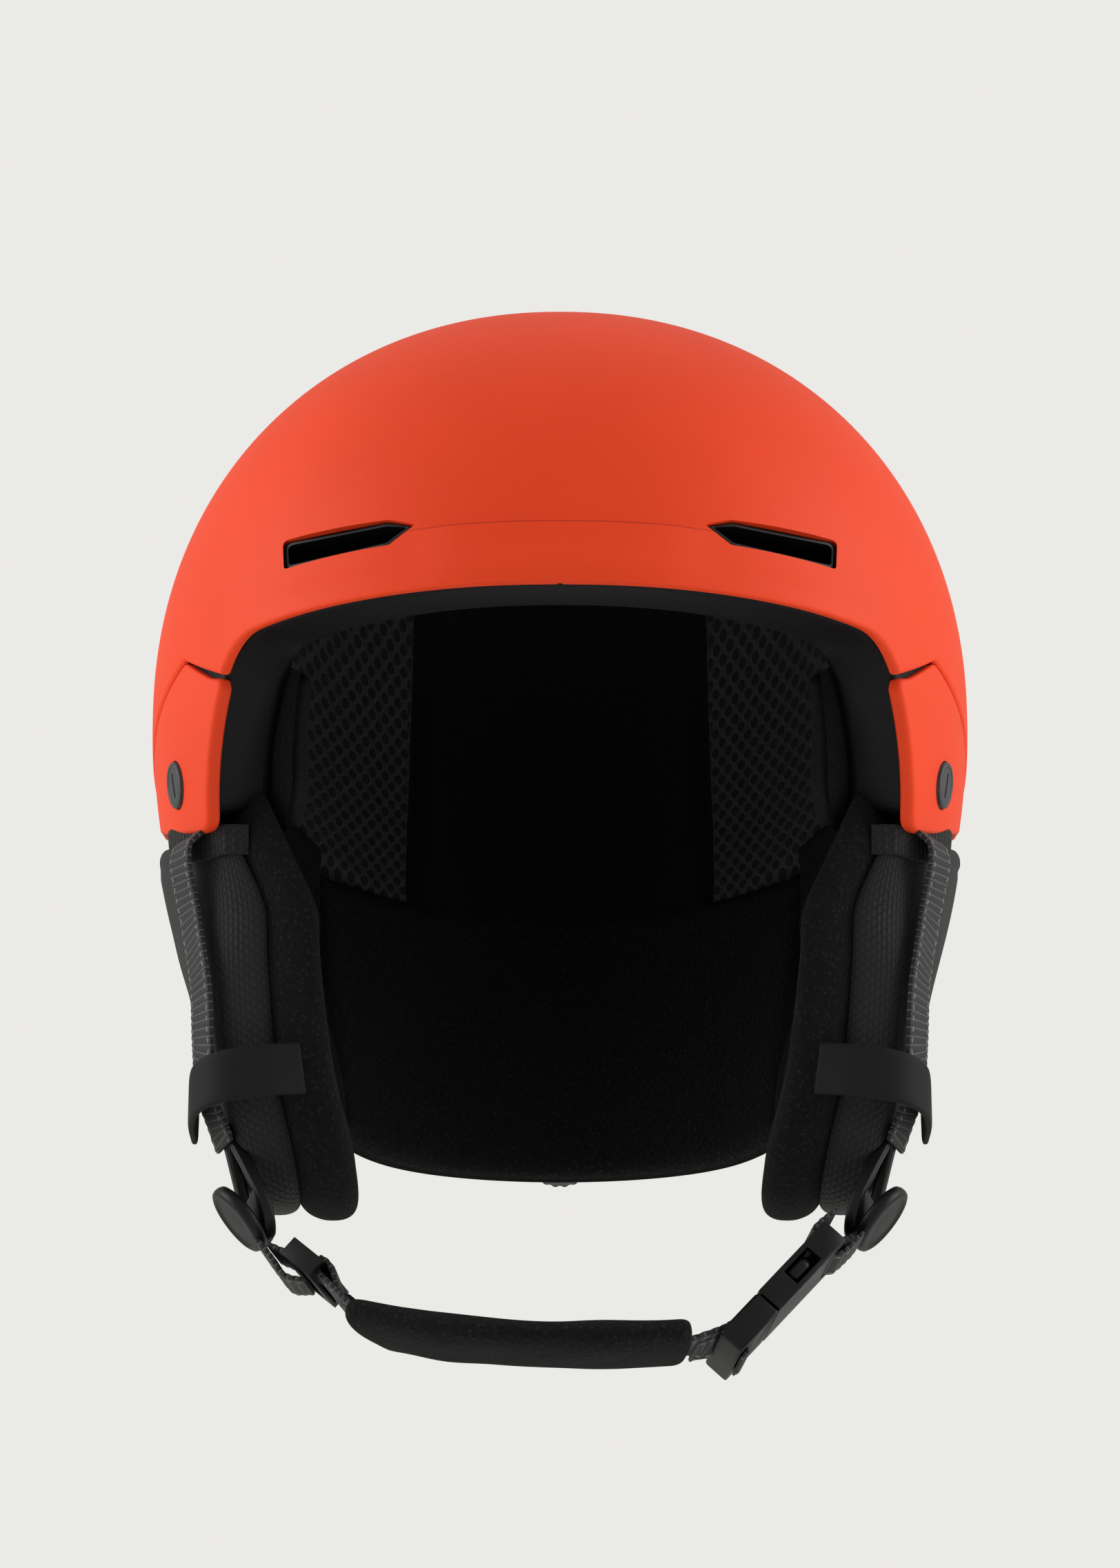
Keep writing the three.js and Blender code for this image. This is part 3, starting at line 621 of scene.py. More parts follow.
def plate(name, outline, centre, surface, profile, rings=16, side=1):
    """A thin plate: a closed outline (y, z) filled towards centre on a curved surface, its
    border carried round by profile, a list of (outwards, inwards) steps for each point."""
    outline = np.array(outline)
    n = len(outline)
    spread = np.linspace(0, 1, rings + 1)[1:] ** 0.8
    flat = [np.array(centre) + (outline - centre) * k for k in spread]
    layers = [surface(ring[:, 0], ring[:, 1]) for ring in flat]
    rim = layers[-1]
    normal = np.array([surface_normal(surface, y, z) for y, z in outline])
    along = unit(np.roll(rim, -1, 0) - np.roll(rim, 1, 0))
    out = unit(np.cross(along, normal))
    middle = surface(np.array([centre[0]]), np.array([centre[1]]))[0]
    out *= np.sign(((rim - middle) * out).sum(1).mean())
    for step in range(len(profile[0])):
        o = np.array([p[step][0] for p in profile])[:, None]
        i = np.array([p[step][1] for p in profile])[:, None]
        layers.append(rim + out * o - normal * i)
    points = np.concatenate([*layers, [middle]])
    points[:, 0] *= side
    faces = grid_faces(len(layers), n, wrap_columns=True)
    last = len(layers) * n
    faces += [(last, j, (j + 1) % n) for j in range(n)]
    return mesh_piece(name, points, faces)


def surface_normal(surface, y, z, e=2e-4):
    ys = np.array([y + e, y - e, y, y])
    zs = np.array([z, z, z + e, z - e])
    p = surface(ys, zs)
    n = unit(np.cross(p[0] - p[1], p[2] - p[3]))
    return n * (1 if n[0] > 0 else -1)


def side_surface(inset):
    return lambda y, z: form(way_at(y, z, inset), inset, False)


def resample(outline, step=0.0008):
    k = np.array(list(outline) + [outline[0]])
    run = np.r_[0, np.cumsum(np.linalg.norm(np.diff(k, axis=0), axis=1))]
    even = np.linspace(0, run[-1], int(run[-1] / step) + 1)[:-1]
    return np.stack([np.interp(even, run, k[:, i]) for i in range(2)], 1)


PANEL_OUTLINE = rounded(
    [
        (-0.0812, -0.0096),
        (-0.0643, 0.0016),
        (-0.0360, -0.0043),
        (0.0120, -0.0197),
        (0.0100, -0.0222),
        (0.0000, -0.0236),
        (-0.0630, -0.0428),
    ],
    [0.0006, 0.0012, 0.006, 0.001, 0.001, 0.006, 0.0036],
)
panel_outline = resample(PANEL_OUTLINE)


def panel_profile(y, z):
    """A broad round at the front edge, a small one below, and a thin tucked edge on top."""
    at_front = y < -0.0615 - 0.50 * (z + 0.0428)
    on_top = z > -0.0086 - 0.21 * (y + 0.0812) and z > -0.0205
    r = 0.0019 if at_front else 0.0008 if on_top else 0.0014
    depth = 0.0014
    steps = [(r * math.sin(a), r * (1 - math.cos(a))) for a in np.linspace(0.25, math.pi / 2, 7)]
    return steps + [(r, r + depth * 0.5), (r, r + depth), (r - 0.0006, r + depth + 0.0006)]


def eased(profiles, passes=5):
    """The border's steps, passed smoothly from each point to the next."""
    p = np.array(profiles)
    for _ in range(passes):
        p = (np.roll(p, 1, 0) + p * 2 + np.roll(p, -1, 0)) / 4
    return p


panel_profiles = eased([panel_profile(y, z) for y, z in panel_outline])
CAP_PLACE = (-0.051, -0.027)
CAP_RADIUS = 0.0062


def round_piece(name, profile, sides=64, ripple=None):
    """A turned piece from (radius, height) steps, its axis along +z; ripple moves the radius."""
    points, faces = [], []
    turns = np.linspace(0, math.tau, sides, endpoint=False)
    for r, h in profile:
        for a in turns:
            rr = r + (ripple(a, r, h) if ripple else 0)
            points.append((rr * math.cos(a), rr * math.sin(a), h))
    faces = grid_faces(len(profile), sides, wrap_columns=True)
    if profile[0][0] > 0:
        points.append((0, 0, profile[0][1]))
        faces += [(len(points) - 1, (j + 1) % sides, j) for j in range(sides)]
    if profile[-1][0] > 0:
        points.append((0, 0, profile[-1][1]))
        base = (len(profile) - 1) * sides
        faces += [(len(points) - 1, base + j, base + (j + 1) % sides) for j in range(sides)]
    return mesh_piece(name, points, faces)


def set_on(piece, origin, axis, hint=(0, 0, 1)):
    """Moves a piece's mesh so its own +z points along axis at origin, and +x towards hint."""
    z = Vector(axis).normalized()
    x = (Vector(hint) - Vector(hint).dot(z) * z).normalized()
    y = z.cross(x)
    turn = Matrix((x, y, z)).transposed().to_4x4()
    piece.data.transform(Matrix.Translation(Vector(origin)) @ turn)


def cap_seat(side):
    """Where a cap sits in the panel on one side, and the way that it faces."""
    surface_at = side_surface(0.0)
    spot = surface_at(np.array([CAP_PLACE[0]]), np.array([CAP_PLACE[1]]))[0]
    facing = surface_normal(surface_at, *CAP_PLACE)
    spot[0] *= side
    facing[0] *= side
    return spot, facing


for hand, side in (("left", 1), ("right", -1)):
    panel = plate(
        f"temple_panel_{hand}",
        panel_outline,
        (-0.040, -0.020),
        side_surface(PANEL_INSET),
        panel_profiles,
        side=side,
    )
    spot, facing = cap_seat(side)
    well = round_piece("cutter", [(CAP_RADIUS + 0.0003, -0.004), (CAP_RADIUS + 0.0003, 0.004)])
    set_on(well, spot, facing)
    carve(panel, well)
    sharpen(panel, 40)
    dress(panel, orange)
    fit(panel, "shell", "shell_orange", f"side_panel_{hand}")

# ------------------------------------------------------------------ side caps
# A dark grey plastic disc on each side panel covers the fixing of the front strap. It carries
# only a plain coin slot.
grey_plastic, surface = hard_material(
    "grey_plastic", (0.040, 0.041, 0.044), 0.5, (0.12, 0.12, 0.125), 2600, 0.1
)
for hand, side in (("left", 1), ("right", -1)):
    spot, facing = cap_seat(side)
    R = CAP_RADIUS
    cap = round_piece(
        f"strap_cap_{hand}",
        [
            (0.0, -0.0018),
            (R, -0.0018),
            (R, 0.0000),
            (R - 0.0001, 0.0003),
            (R - 0.0004, 0.0005),
            (R - 0.0010, 0.00052),
            (R - 0.0013, 0.00030),
            (R - 0.0020, 0.00030),
            (0.0030, 0.00036),
            (0.0, 0.0004),
        ],
    )
    groove = rounded(
        [(-0.0034, -0.0005), (0.0034, -0.0005), (0.0034, 0.0005), (-0.0034, 0.0005)], 0.0004
    )
    n = len(groove)
    tool = mesh_piece(
        "cutter",
        [(x, y, -0.0003) for x, y in groove] + [(x, y, 0.002) for x, y in groove],
        [tuple(range(n))[::-1], tuple(range(n, 2 * n))]
        + [(i, (i + 1) % n, n + (i + 1) % n, n + i) for i in range(n)],
    )
    carve(cap, tool)
    set_on(cap, spot, facing)
    sharpen(cap)
    dress(cap, grey_plastic)
    fit(cap, "shell", "cap_grey", f"side_cap_{hand}")

# ------------------------------------------------------------------ vent inserts
# Black plastic tubes line the four air slots. Each is a frame just under the shell's face
# that runs back through the foam.
black_plastic, surface = hard_material(
    "black_plastic", (0.0032, 0.0032, 0.0036), 0.42, (0.011, 0.011, 0.012), 2400, 0.12
)
surface.inputs["Specular IOR Level"].default_value = 0.26


def vent_tube(name, outer, inner, near, depth_to, front=True):
    """A frame between two outlines, from just under the shell's face into the helmet."""
    n = len(outer)
    outer, inner = np.array(outer), np.array(inner)
    mid = (outer + inner) / 2

    def on_shell(xz, inset):
        a, b = HALF_WIDTH - inset, (FRONT_REACH if front else BACK_REACH) - inset
        rise = xz[:, 1] - WIDEST_HEIGHT
        c = np.where(rise > 0, CROWN_RISE, LOWER_DROP) - inset
        rest = 1 - np.abs(xz[:, 0] / a) ** FULLNESS - np.abs(rise / c) ** FULLNESS
        y = b * np.maximum(rest, 0) ** (1 / FULLNESS) * (-1 if front else 1)
        return np.stack([xz[:, 0], y, xz[:, 1]], 1)

    deep = 0.014
    rings = [
        on_shell(outer, deep),
        on_shell(outer, near + 0.0006),
        on_shell(outer * 0.7 + mid * 0.3, near + 0.0001),
        on_shell(mid, near),
        on_shell(inner * 0.7 + mid * 0.3, near + 0.0002),
        on_shell(inner, near + 0.0008),
        on_shell(inner * 0.98 + mid * 0.02, depth_to),
        on_shell(inner, deep),
    ]
    points = np.array(rings).reshape(-1, 3)
    faces = grid_faces(len(rings), n, wrap_rows=True, wrap_columns=True)
    return mesh_piece(name, points, faces)


for label, vent, front in (("brow", BROW_VENT, True), ("rear", REAR_VENT, False)):
    for hand, side in (("left", 1), ("right", -1)):
        outer = vent_outline(*vent, grow=-0.0003)
        inner = vent_outline(*vent, grow=-0.0015)
        if side < 0:
            outer, inner = mirrored(outer), mirrored(inner)
        tube = vent_tube(f"{label}_air_slot_{hand}", outer, inner, 0.0009, 0.006, front)
        sharpen(tube, 45)
        dress(tube, black_plastic)
        fit(tube, "shell", "black_plastic", f"{label}_vent_{hand}")

# ------------------------------------------------------------------ foam liner
# Black expanded foam, moulded in one with the shell. It shows as a smooth dark band inside the
# brim that widens at the temples, with a faint cell pattern.
LINER_INSET = SHELL_THICKNESS + SEAM_GAP
LINER_THICKNESS = 0.018
liner_edge = trace(
    [(front_middle, 0.0014), (-0.094, 0.0014)],
    [(-0.094, 0.0014), (-0.085, 0.0010), (-0.0785, -0.010)],
    [(-0.0785, -0.010), (-0.0620, -0.0365)],
    [(-0.0620, -0.0365), (-0.0605, -0.0395), (-0.056, -0.0382)],
    [(-0.056, -0.0382), (0, -0.0216)],
    [(0, -0.0216), (0.020, -0.0196)],
    [(0.020, -0.0196), (0.050, -0.0226), (0.062, -0.0726), (0.095, -0.0726)],
    [(0.095, -0.0726), (0.111, -0.0726)],
)
liner_half = even_edge(liner_edge, LINER_INSET, 0.0022)

foam, surface, node, link = new_material("moulded_foam")
place = node("TexCoord")
cells = node("TexVoronoi", feature="DISTANCE_TO_EDGE", Scale=420.0)
link(place.outputs["Object"], cells.inputs["Vector"])
grained = node("Group", node_tree=grain)
grained.inputs["Size"].default_value = 1500
grained.inputs["Shade"].default_value = 0.15
grained.inputs["Color"].default_value = (0.0040, 0.0033, 0.0041, 1)
surface.inputs["Specular IOR Level"].default_value = 0.22
link(grained.outputs["Color"], surface.inputs["Base Color"])
skin = node("MapRange")
skin.inputs["From Max"].default_value = 0.12
link(cells.outputs["Distance"], skin.inputs["Value"])
dents = node("Bump", Distance=0.00006, Strength=0.6)
link(skin.outputs[0], dents.inputs["Height"])
link(dents.outputs[0], surface.inputs["Normal"])
surface.inputs["Roughness"].default_value = 0.55


def layer_between(name, half, outside, inside, lip, rows=(16, 40)):
    """A closed thick layer of the form. Where the edge runs below the inner form, the inner
    face keeps the outer face's direction, so the layer stays whole."""
    edge = edge_ways(half, outside)
    spacing = np.r_[np.linspace(0, 0.2, rows[0] + 1)[:-1], np.linspace(0.2, 1, rows[1] + 1)[:-1]]
    outer_ways = dome_rows(edge, spacing)
    outer = form(outer_ways, outside, False)
    normals = form_normal(outer_ways, outside, False)
    depth = inside - outside
    inner = outer - normals * depth
    through = -normals[0]
    up = unit(outer[2] - outer[0])
    r = lip
    hold = np.clip(1 - spacing / 0.08, 0, 1)[:, None, None]
    outer = outer + up[None] * r * hold
    inner = inner + up[None] * r * hold
    lips = []
    for a in np.linspace(0, math.pi / 2, 5)[1:]:
        lips.append(outer[0] - up * r * math.sin(a) + through * r * (1 - math.cos(a)))
    for a in np.linspace(math.pi / 2, 0, 5)[:-1]:
        lips.append(inner[0] - up * r * math.sin(a) - through * r * (1 - math.cos(a)))
    rings = [*outer[::-1], *lips, *inner]
    around = len(edge)
    top = form(np.array([[0, 0, 1.0]]), outside, False)[0]
    points = np.concatenate([np.array(rings).reshape(-1, 3), [top, top - [0, 0, depth]]])
    faces = grid_faces(len(rings), around, wrap_columns=True)
    last = len(rings) * around
    for j in range(around):
        m = (j + 1) % around
        faces.append((last, m, j))
        faces.append((last + 1, last - around + j, last - around + m))
    return mesh_piece(name, points, faces)


liner = layer_between(
    "foam_shell", liner_half, LINER_INSET, LINER_INSET + LINER_THICKNESS, 0.0028
)
cut_vents(liner)
sharpen(liner, 50)
dress(liner, foam)
fit(liner, "shell", "foam_black", "foam_liner")

# ------------------------------------------------------------------ crown pad
# A strip of brushed cloth over thin foam, from the brow over the crown to the nape seam. Its
# edges are sewn down, so it swells a little between them.
PAD_INSET = LINER_INSET + LINER_THICKNESS + SEAM_GAP
PAD_THICKNESS = 0.0065


def give(piece, name, values):
    """Stores a place on the cloth, in metres, for the weave to follow."""
    layer = piece.data.attributes.new(name, "FLOAT_VECTOR", "POINT")
    layer.data.foreach_set("vector", np.asarray(values, np.float32).ravel())


def lump(p, size, seed=0.0):
    """A soft repeatable unevenness between -1 and 1."""
    x, y, z = (p[..., i] / size + seed * (i + 1.7) for i in range(3))
    return (
        np.sin(x * 1.9 + np.sin(y * 1.3 + 0.7)) * np.cos(y * 1.7 + np.sin(z * 1.1))
        + 0.5 * np.sin(z * 3.1 + np.cos(x * 2.3)) * np.sin(y * 3.7 + 1.1)
    ) / 1.5


def fix_normals(piece):
    work = bmesh.new()
    work.from_mesh(piece.data)
    bmesh.ops.recalc_face_normals(work, faces=work.faces)
    work.to_mesh(piece.data)
    work.free()


def pillow(name, base, face, border, uneven, size=0.012):
    """A pad between two grids of points, swelling from its sewn border."""
    rows, columns = base.shape[:2]
    steps_v = np.linalg.norm(np.diff(face, axis=1), axis=-1)
    steps_u = np.linalg.norm(np.diff(face, axis=0), axis=-1)
    along_v = np.concatenate([np.zeros((rows, 1)), np.cumsum(steps_v, 1)], 1)
    along_u = np.concatenate([np.zeros((1, columns)), np.cumsum(steps_u, 0)], 0)
    to_border = np.minimum(
        np.minimum(along_v, along_v[:, -1:] - along_v), np.minimum(along_u, along_u[-1:] - along_u)
    )
    t = np.clip(to_border / border, 0, 1)
    swell = np.sqrt(np.maximum(1 - (1 - t) ** 2, 0))
    front = base + (face - base) * swell[..., None]
    front += unit(face - base) * (uneven * lump(face, size) * swell)[..., None]
    back = base + (face - base) * 0.02
    points = np.concatenate([front.reshape(-1, 3), back.reshape(-1, 3)])
    faces = grid_faces(rows, columns)
    count = rows * columns
    faces += [tuple(count + k for k in f[::-1]) for f in faces]
    rim = (
        [(0, j) for j in range(columns)]
        + [(i, columns - 1) for i in range(1, rows)]
        + [(rows - 1, j) for j in range(columns - 2, -1, -1)]
        + [(i, 0) for i in range(rows - 2, 0, -1)]
    )
    ids = [i * columns + j for i, j in rim]
    for k, here in enumerate(ids):
        after = ids[(k + 1) % len(ids)]
        faces.append((here, after, count + after, count + here))
    pad = mesh_piece(name, points, faces, closed_normals=False)
    cloth = np.stack([along_v, along_u, to_border], -1).reshape(-1, 3)
    give(pad, "cloth", np.concatenate([cloth, cloth]))
    fix_normals(pad)
    return pad


def quilt(name, ways, thickness, border):
    """A pad on the foam over a grid of directions, swelling from its sewn border."""
    base = form(ways, PAD_INSET, False)
    face = form(ways, PAD_INSET + thickness, False)
    return pillow(name, base, face, border, 0.00025)


def strip_ways(across, turn, inset):
    """Directions at a distance across from the mid-plane and a turn over the crown, where 0
    is the front and pi the back."""
    a = HALF_WIDTH - inset
    k = np.maximum(1 - np.abs(across / a) ** FULLNESS, 0) ** (1 / FULLNESS)
    c, s = np.cos(turn), np.sin(turn)
    y = -np.sign(c) * np.abs(c) ** (2 / FULLNESS) * k
    z = np.sign(s) * np.abs(s) ** (2 / FULLNESS) * k
    return unit(np.stack([across / a, y, z], -1))


STRIP_FRONT = 0.033
STRIP_BACK = 0.044
FACE_INSET = PAD_INSET + PAD_THICKNESS
turns = np.linspace(math.radians(1), math.radians(194), 150)
share = (turns - turns[0]) / (turns[-1] - turns[0])
half_strip = STRIP_FRONT + (STRIP_BACK - STRIP_FRONT) * share
across = half_strip[:, None] * np.linspace(-1, 1, 61)[None, :]
crown_ways = strip_ways(across, turns[:, None] + 0 * across, FACE_INSET)
crown = quilt("crown_strip", crown_ways, PAD_THICKNESS, 0.0045)

# Brushed cloth: short fibres at two sizes, their tips coloured lighter as a painted sheen, where
# they would catch the light at a low angle.
nap, into, out, node, link = effect(
    "brushed_nap",
    [("Color", "Color", (0.01, 0.01, 0.01, 1)), ("Tip", "Color", (0.04, 0.04, 0.04, 1)),
     ("Size", "Float", 900.0)],
    [("Color", "Color"), ("Height", "Float")],
)
place = node("TexCoord")
fibre = node("TexNoise", Detail=6.0, Roughness=0.8)
link(place.outputs["Object"], fibre.inputs["Vector"])
link(into["Size"], fibre.inputs["Scale"])
tuft = node("TexVoronoi", Scale=700.0, Randomness=1.0)
link(place.outputs["Object"], tuft.inputs["Vector"])
rise = node("Math", operation="MULTIPLY_ADD")
link(tuft.outputs["Distance"], rise.inputs[0])
rise.inputs[1].default_value = -0.7
link(fibre.outputs["Fac"], rise.inputs[2])
# Painted sheen: the fibre tips are mixed towards the lighter Tip colour.
tip = node("MapRange")
tip.inputs["From Min"].default_value = 0.25
tip.inputs["From Max"].default_value = 0.62
link(rise.outputs[0], tip.inputs["Value"])
mix = node("Mix", data_type="RGBA")
link(tip.outputs[0], mix.inputs["Factor"])
link(into["Color"], mix.inputs["A"])
link(into["Tip"], mix.inputs["B"])
link(mix.outputs["Result"], out["Color"])
link(rise.outputs[0], out["Height"])


def plush_material(name, color, sheen_tip_color, size, bump):
    material, surface, node, link = new_material(name)
    pile = node("Group", node_tree=nap)
    pile.inputs["Color"].default_value = (*color, 1)
    pile.inputs["Tip"].default_value = (*sheen_tip_color, 1)
    pile.inputs["Size"].default_value = size
    link(pile.outputs["Color"], surface.inputs["Base Color"])
    dents = node("Bump", Distance=bump)
    link(pile.outputs["Height"], dents.inputs["Height"])
    link(dents.outputs[0], surface.inputs["Normal"])
    surface.inputs["Roughness"].default_value = 0.95
    surface.inputs["Specular IOR Level"].default_value = 0.15
    surface.inputs["Sheen Weight"].default_value = 0.04
    surface.inputs["Sheen Roughness"].default_value = 0.5
    return material


# The second colour is the painted sheen on the fibre tips.
brushed = plush_material(
    "brushed_cloth", (0.0035, 0.0035, 0.0037), (0.010, 0.010, 0.0105), 1300, 0.0004
)
dress(crown, brushed)
fit(crown, "shell", "plush", "crown_pad")

# ------------------------------------------------------------------ mesh pads
# Left and right of the strip lie pads of spacer mesh, a thick knit with rows of long holes, each
# hole coloured near-black as painted shade.
# They are sewn down along the strip and tucked under the ear collars.
mesh_cloth, surface, node, link = new_material("spacer_mesh")
HOLE_PITCH_ACROSS = 0.0037
HOLE_PITCH_ALONG = 0.0026
spot = node("Attribute", attribute_name="cloth")
split = node("SeparateXYZ")
link(spot.outputs["Vector"], split.inputs[0])


def scaled(source, pitch, shift=0.0):
    made = node("Math", operation="MULTIPLY_ADD")
    link(source, made.inputs[0])
    made.inputs[1].default_value = 1 / pitch
    made.inputs[2].default_value = shift
    return made.outputs[0]


def off_middle(source):
    """Distance from the nearest whole number."""
    made = node("Math", operation="PINGPONG")
    link(source, made.inputs[0])
    made.inputs[1].default_value = 0.5
    return made.outputs[0]


def combine(operation, a, b):
    made = node("Math", operation=operation)
    for socket, value in zip(made.inputs, (a, b)):
        if isinstance(value, (int, float)):
            socket.default_value = value
        else:
            link(value, socket)
    return made.outputs[0]


holes = []
for shift in (0.0, 0.5):
    u = off_middle(scaled(split.outputs["X"], HOLE_PITCH_ACROSS, shift))
    v = off_middle(scaled(split.outputs["Y"], HOLE_PITCH_ALONG * 2, shift))
    u2 = combine("POWER", combine("MULTIPLY", u, 3.1), 2.0)
    v2 = combine("POWER", combine("MULTIPLY", v, 3.6), 2.0)
    holes.append(combine("SQRT", combine("ADD", u2, v2), 0.0))
nearest = combine("MINIMUM", holes[0], holes[1])
solid_cloth = node("MapRange", interpolation_type="SMOOTHSTEP")
solid_cloth.inputs["From Min"].default_value = 0.72
solid_cloth.inputs["From Max"].default_value = 1.12
link(nearest, solid_cloth.inputs["Value"])
yarn_noise = node("TexNoise", Scale=2600.0, Detail=3.0)
place = node("TexCoord")
link(place.outputs["Object"], yarn_noise.inputs["Vector"])
# Painted shade: the holes are coloured near-black, as shade inside them; the yarn between keeps
# its dark grey.
tone = node("Mix", data_type="RGBA")
link(solid_cloth.outputs[0], tone.inputs["Factor"])
tone.inputs["A"].default_value = (0.0008, 0.0008, 0.0009, 1)
tone.inputs["B"].default_value = (0.034, 0.034, 0.035, 1)
link(tone.outputs["Result"], surface.inputs["Base Color"])
fuzz = combine("MULTIPLY", yarn_noise.outputs["Fac"], 0.25)
relief_height = combine("ADD", solid_cloth.outputs[0], fuzz)
dents = node("Bump", Distance=0.0009)
link(relief_height, dents.inputs["Height"])
link(dents.outputs[0], surface.inputs["Normal"])
surface.inputs["Roughness"].default_value = 0.8
surface.inputs["Sheen Weight"].default_value = 0.08

mesh_low = trace(
    [(-0.0935, 0.0055), (-0.060, 0.0045)],
    [(-0.060, 0.0045), (0.010, -0.0010)],
    [(0.010, -0.0010), (0.045, -0.0010), (0.066, -0.0100)],
    [(0.066, -0.0100), (0.080, -0.0165), (0.0965, -0.0185)],
)


def spread_evenly(line, count):
    run = np.r_[0, np.cumsum(np.linalg.norm(np.diff(line, axis=0), axis=1))]
    even = np.linspace(0, run[-1], count)
    return np.stack([np.interp(even, run, line[:, i]) for i in range(line.shape[1])], 1)


MESH_ROWS = 120
low_line = spread_evenly(mesh_low, MESH_ROWS)
low_ways = way_at(low_line[:, 0], low_line[:, 1], FACE_INSET)
turns = np.linspace(math.radians(1.2), math.radians(194), MESH_ROWS)
share = (turns - turns[0]) / (turns[-1] - turns[0])
beside = STRIP_FRONT + (STRIP_BACK - STRIP_FRONT) * share + 0.0006
high_ways = strip_ways(beside, turns, FACE_INSET)
fill = np.linspace(0, 1, 60)[None, :, None]
mesh_ways = unit(high_ways[:, None] * (1 - fill) + low_ways[:, None] * fill)
for hand, side in (("left", 1), ("right", -1)):
    ways = mesh_ways * np.array([side, 1, 1])
    pad = quilt(f"spacer_mesh_pad_{hand}", ways, PAD_THICKNESS - 0.001, 0.004)
    flat = np.array([(v.co.x, v.co.z, 0.0) for v in pad.data.vertices])
    pad.data.attributes["cloth"].data.foreach_set("vector", flat.astype(np.float32).ravel())
    dress(pad, mesh_cloth)
    fit(pad, "shell", "spacer_mesh", f"mesh_pad_{hand}")

# ------------------------------------------------------------------ ear collars
# Plush cloth carries the ear pads' lining up inside the helmet. It is sewn round the lower
# edge of the mesh pads and tucked behind the foam.
# The second colour is the painted sheen on the fibre tips.
plush = plush_material("plush", (0.0030, 0.0030, 0.0032), (0.033, 0.033, 0.034), 1150, 0.0010)
collar_top = trace(
    [(-0.0700, -0.0030), (-0.060, 0.0040)],
    [(-0.060, 0.0040), (0.010, -0.0016)],
    [(0.010, -0.0016), (0.045, -0.0016), (0.068, -0.0066)],
)
collar_low = trace(
    [(-0.0600, -0.0300), (-0.052, -0.0385)],
    [(-0.052, -0.0385), (0.0, -0.0200)],
    [(0.0, -0.0200), (0.030, -0.0180), (0.055, -0.0400)],
)
top_ways = way_at(*spread_evenly(collar_top, 80).T, FACE_INSET)
low_ways = way_at(*spread_evenly(collar_low, 80).T, FACE_INSET)
fill = np.linspace(0, 1, 26)[None, :, None]
collar_ways = unit(top_ways[:, None] * (1 - fill) + low_ways[:, None] * fill)
for hand, side in (("left", 1), ("right", -1)):
    collar = quilt(
        f"ear_lining_{hand}", collar_ways * np.array([side, 1, 1]), PAD_THICKNESS + 0.001, 0.006
    )
    dress(collar, plush)
    fit(collar, "shell", "plush", f"ear_collar_{hand}")

# ------------------------------------------------------------------ plain hard parts
# Small moulded and stamped parts: webbing anchors, snaps, pins, the dial's base and cradle, the
# goggle clip, the strap dividers and slider, and the buckle. Their edges are broken by a radius.
def refine(name, node_name, width, segments=3, keep=28):
    source = bpy.data.objects[node_name]
    work = bmesh.new()
    work.from_mesh(source.data)
    work.transform(source.matrix_world)
    bmesh.ops.remove_doubles(work, verts=work.verts, dist=2e-6)
    bmesh.ops.dissolve_limit(
        work, angle_limit=math.radians(1.5), verts=work.verts, edges=work.edges
    )
    mesh = bpy.data.meshes.new(name)
    work.to_mesh(mesh)
    work.free()
    piece = bpy.data.objects.new(name, mesh)
    bpy.context.scene.collection.objects.link(piece)
    bevel = piece.modifiers.new("edges", "BEVEL")
    bevel.width = width
    bevel.segments = segments
    bevel.limit_method = "ANGLE"
    bevel.angle_limit = math.radians(keep)
    bevel.use_clamp_overlap = True
    bevel.harden_normals = False
    settle(piece)
    sharpen(piece, 40)
    return piece


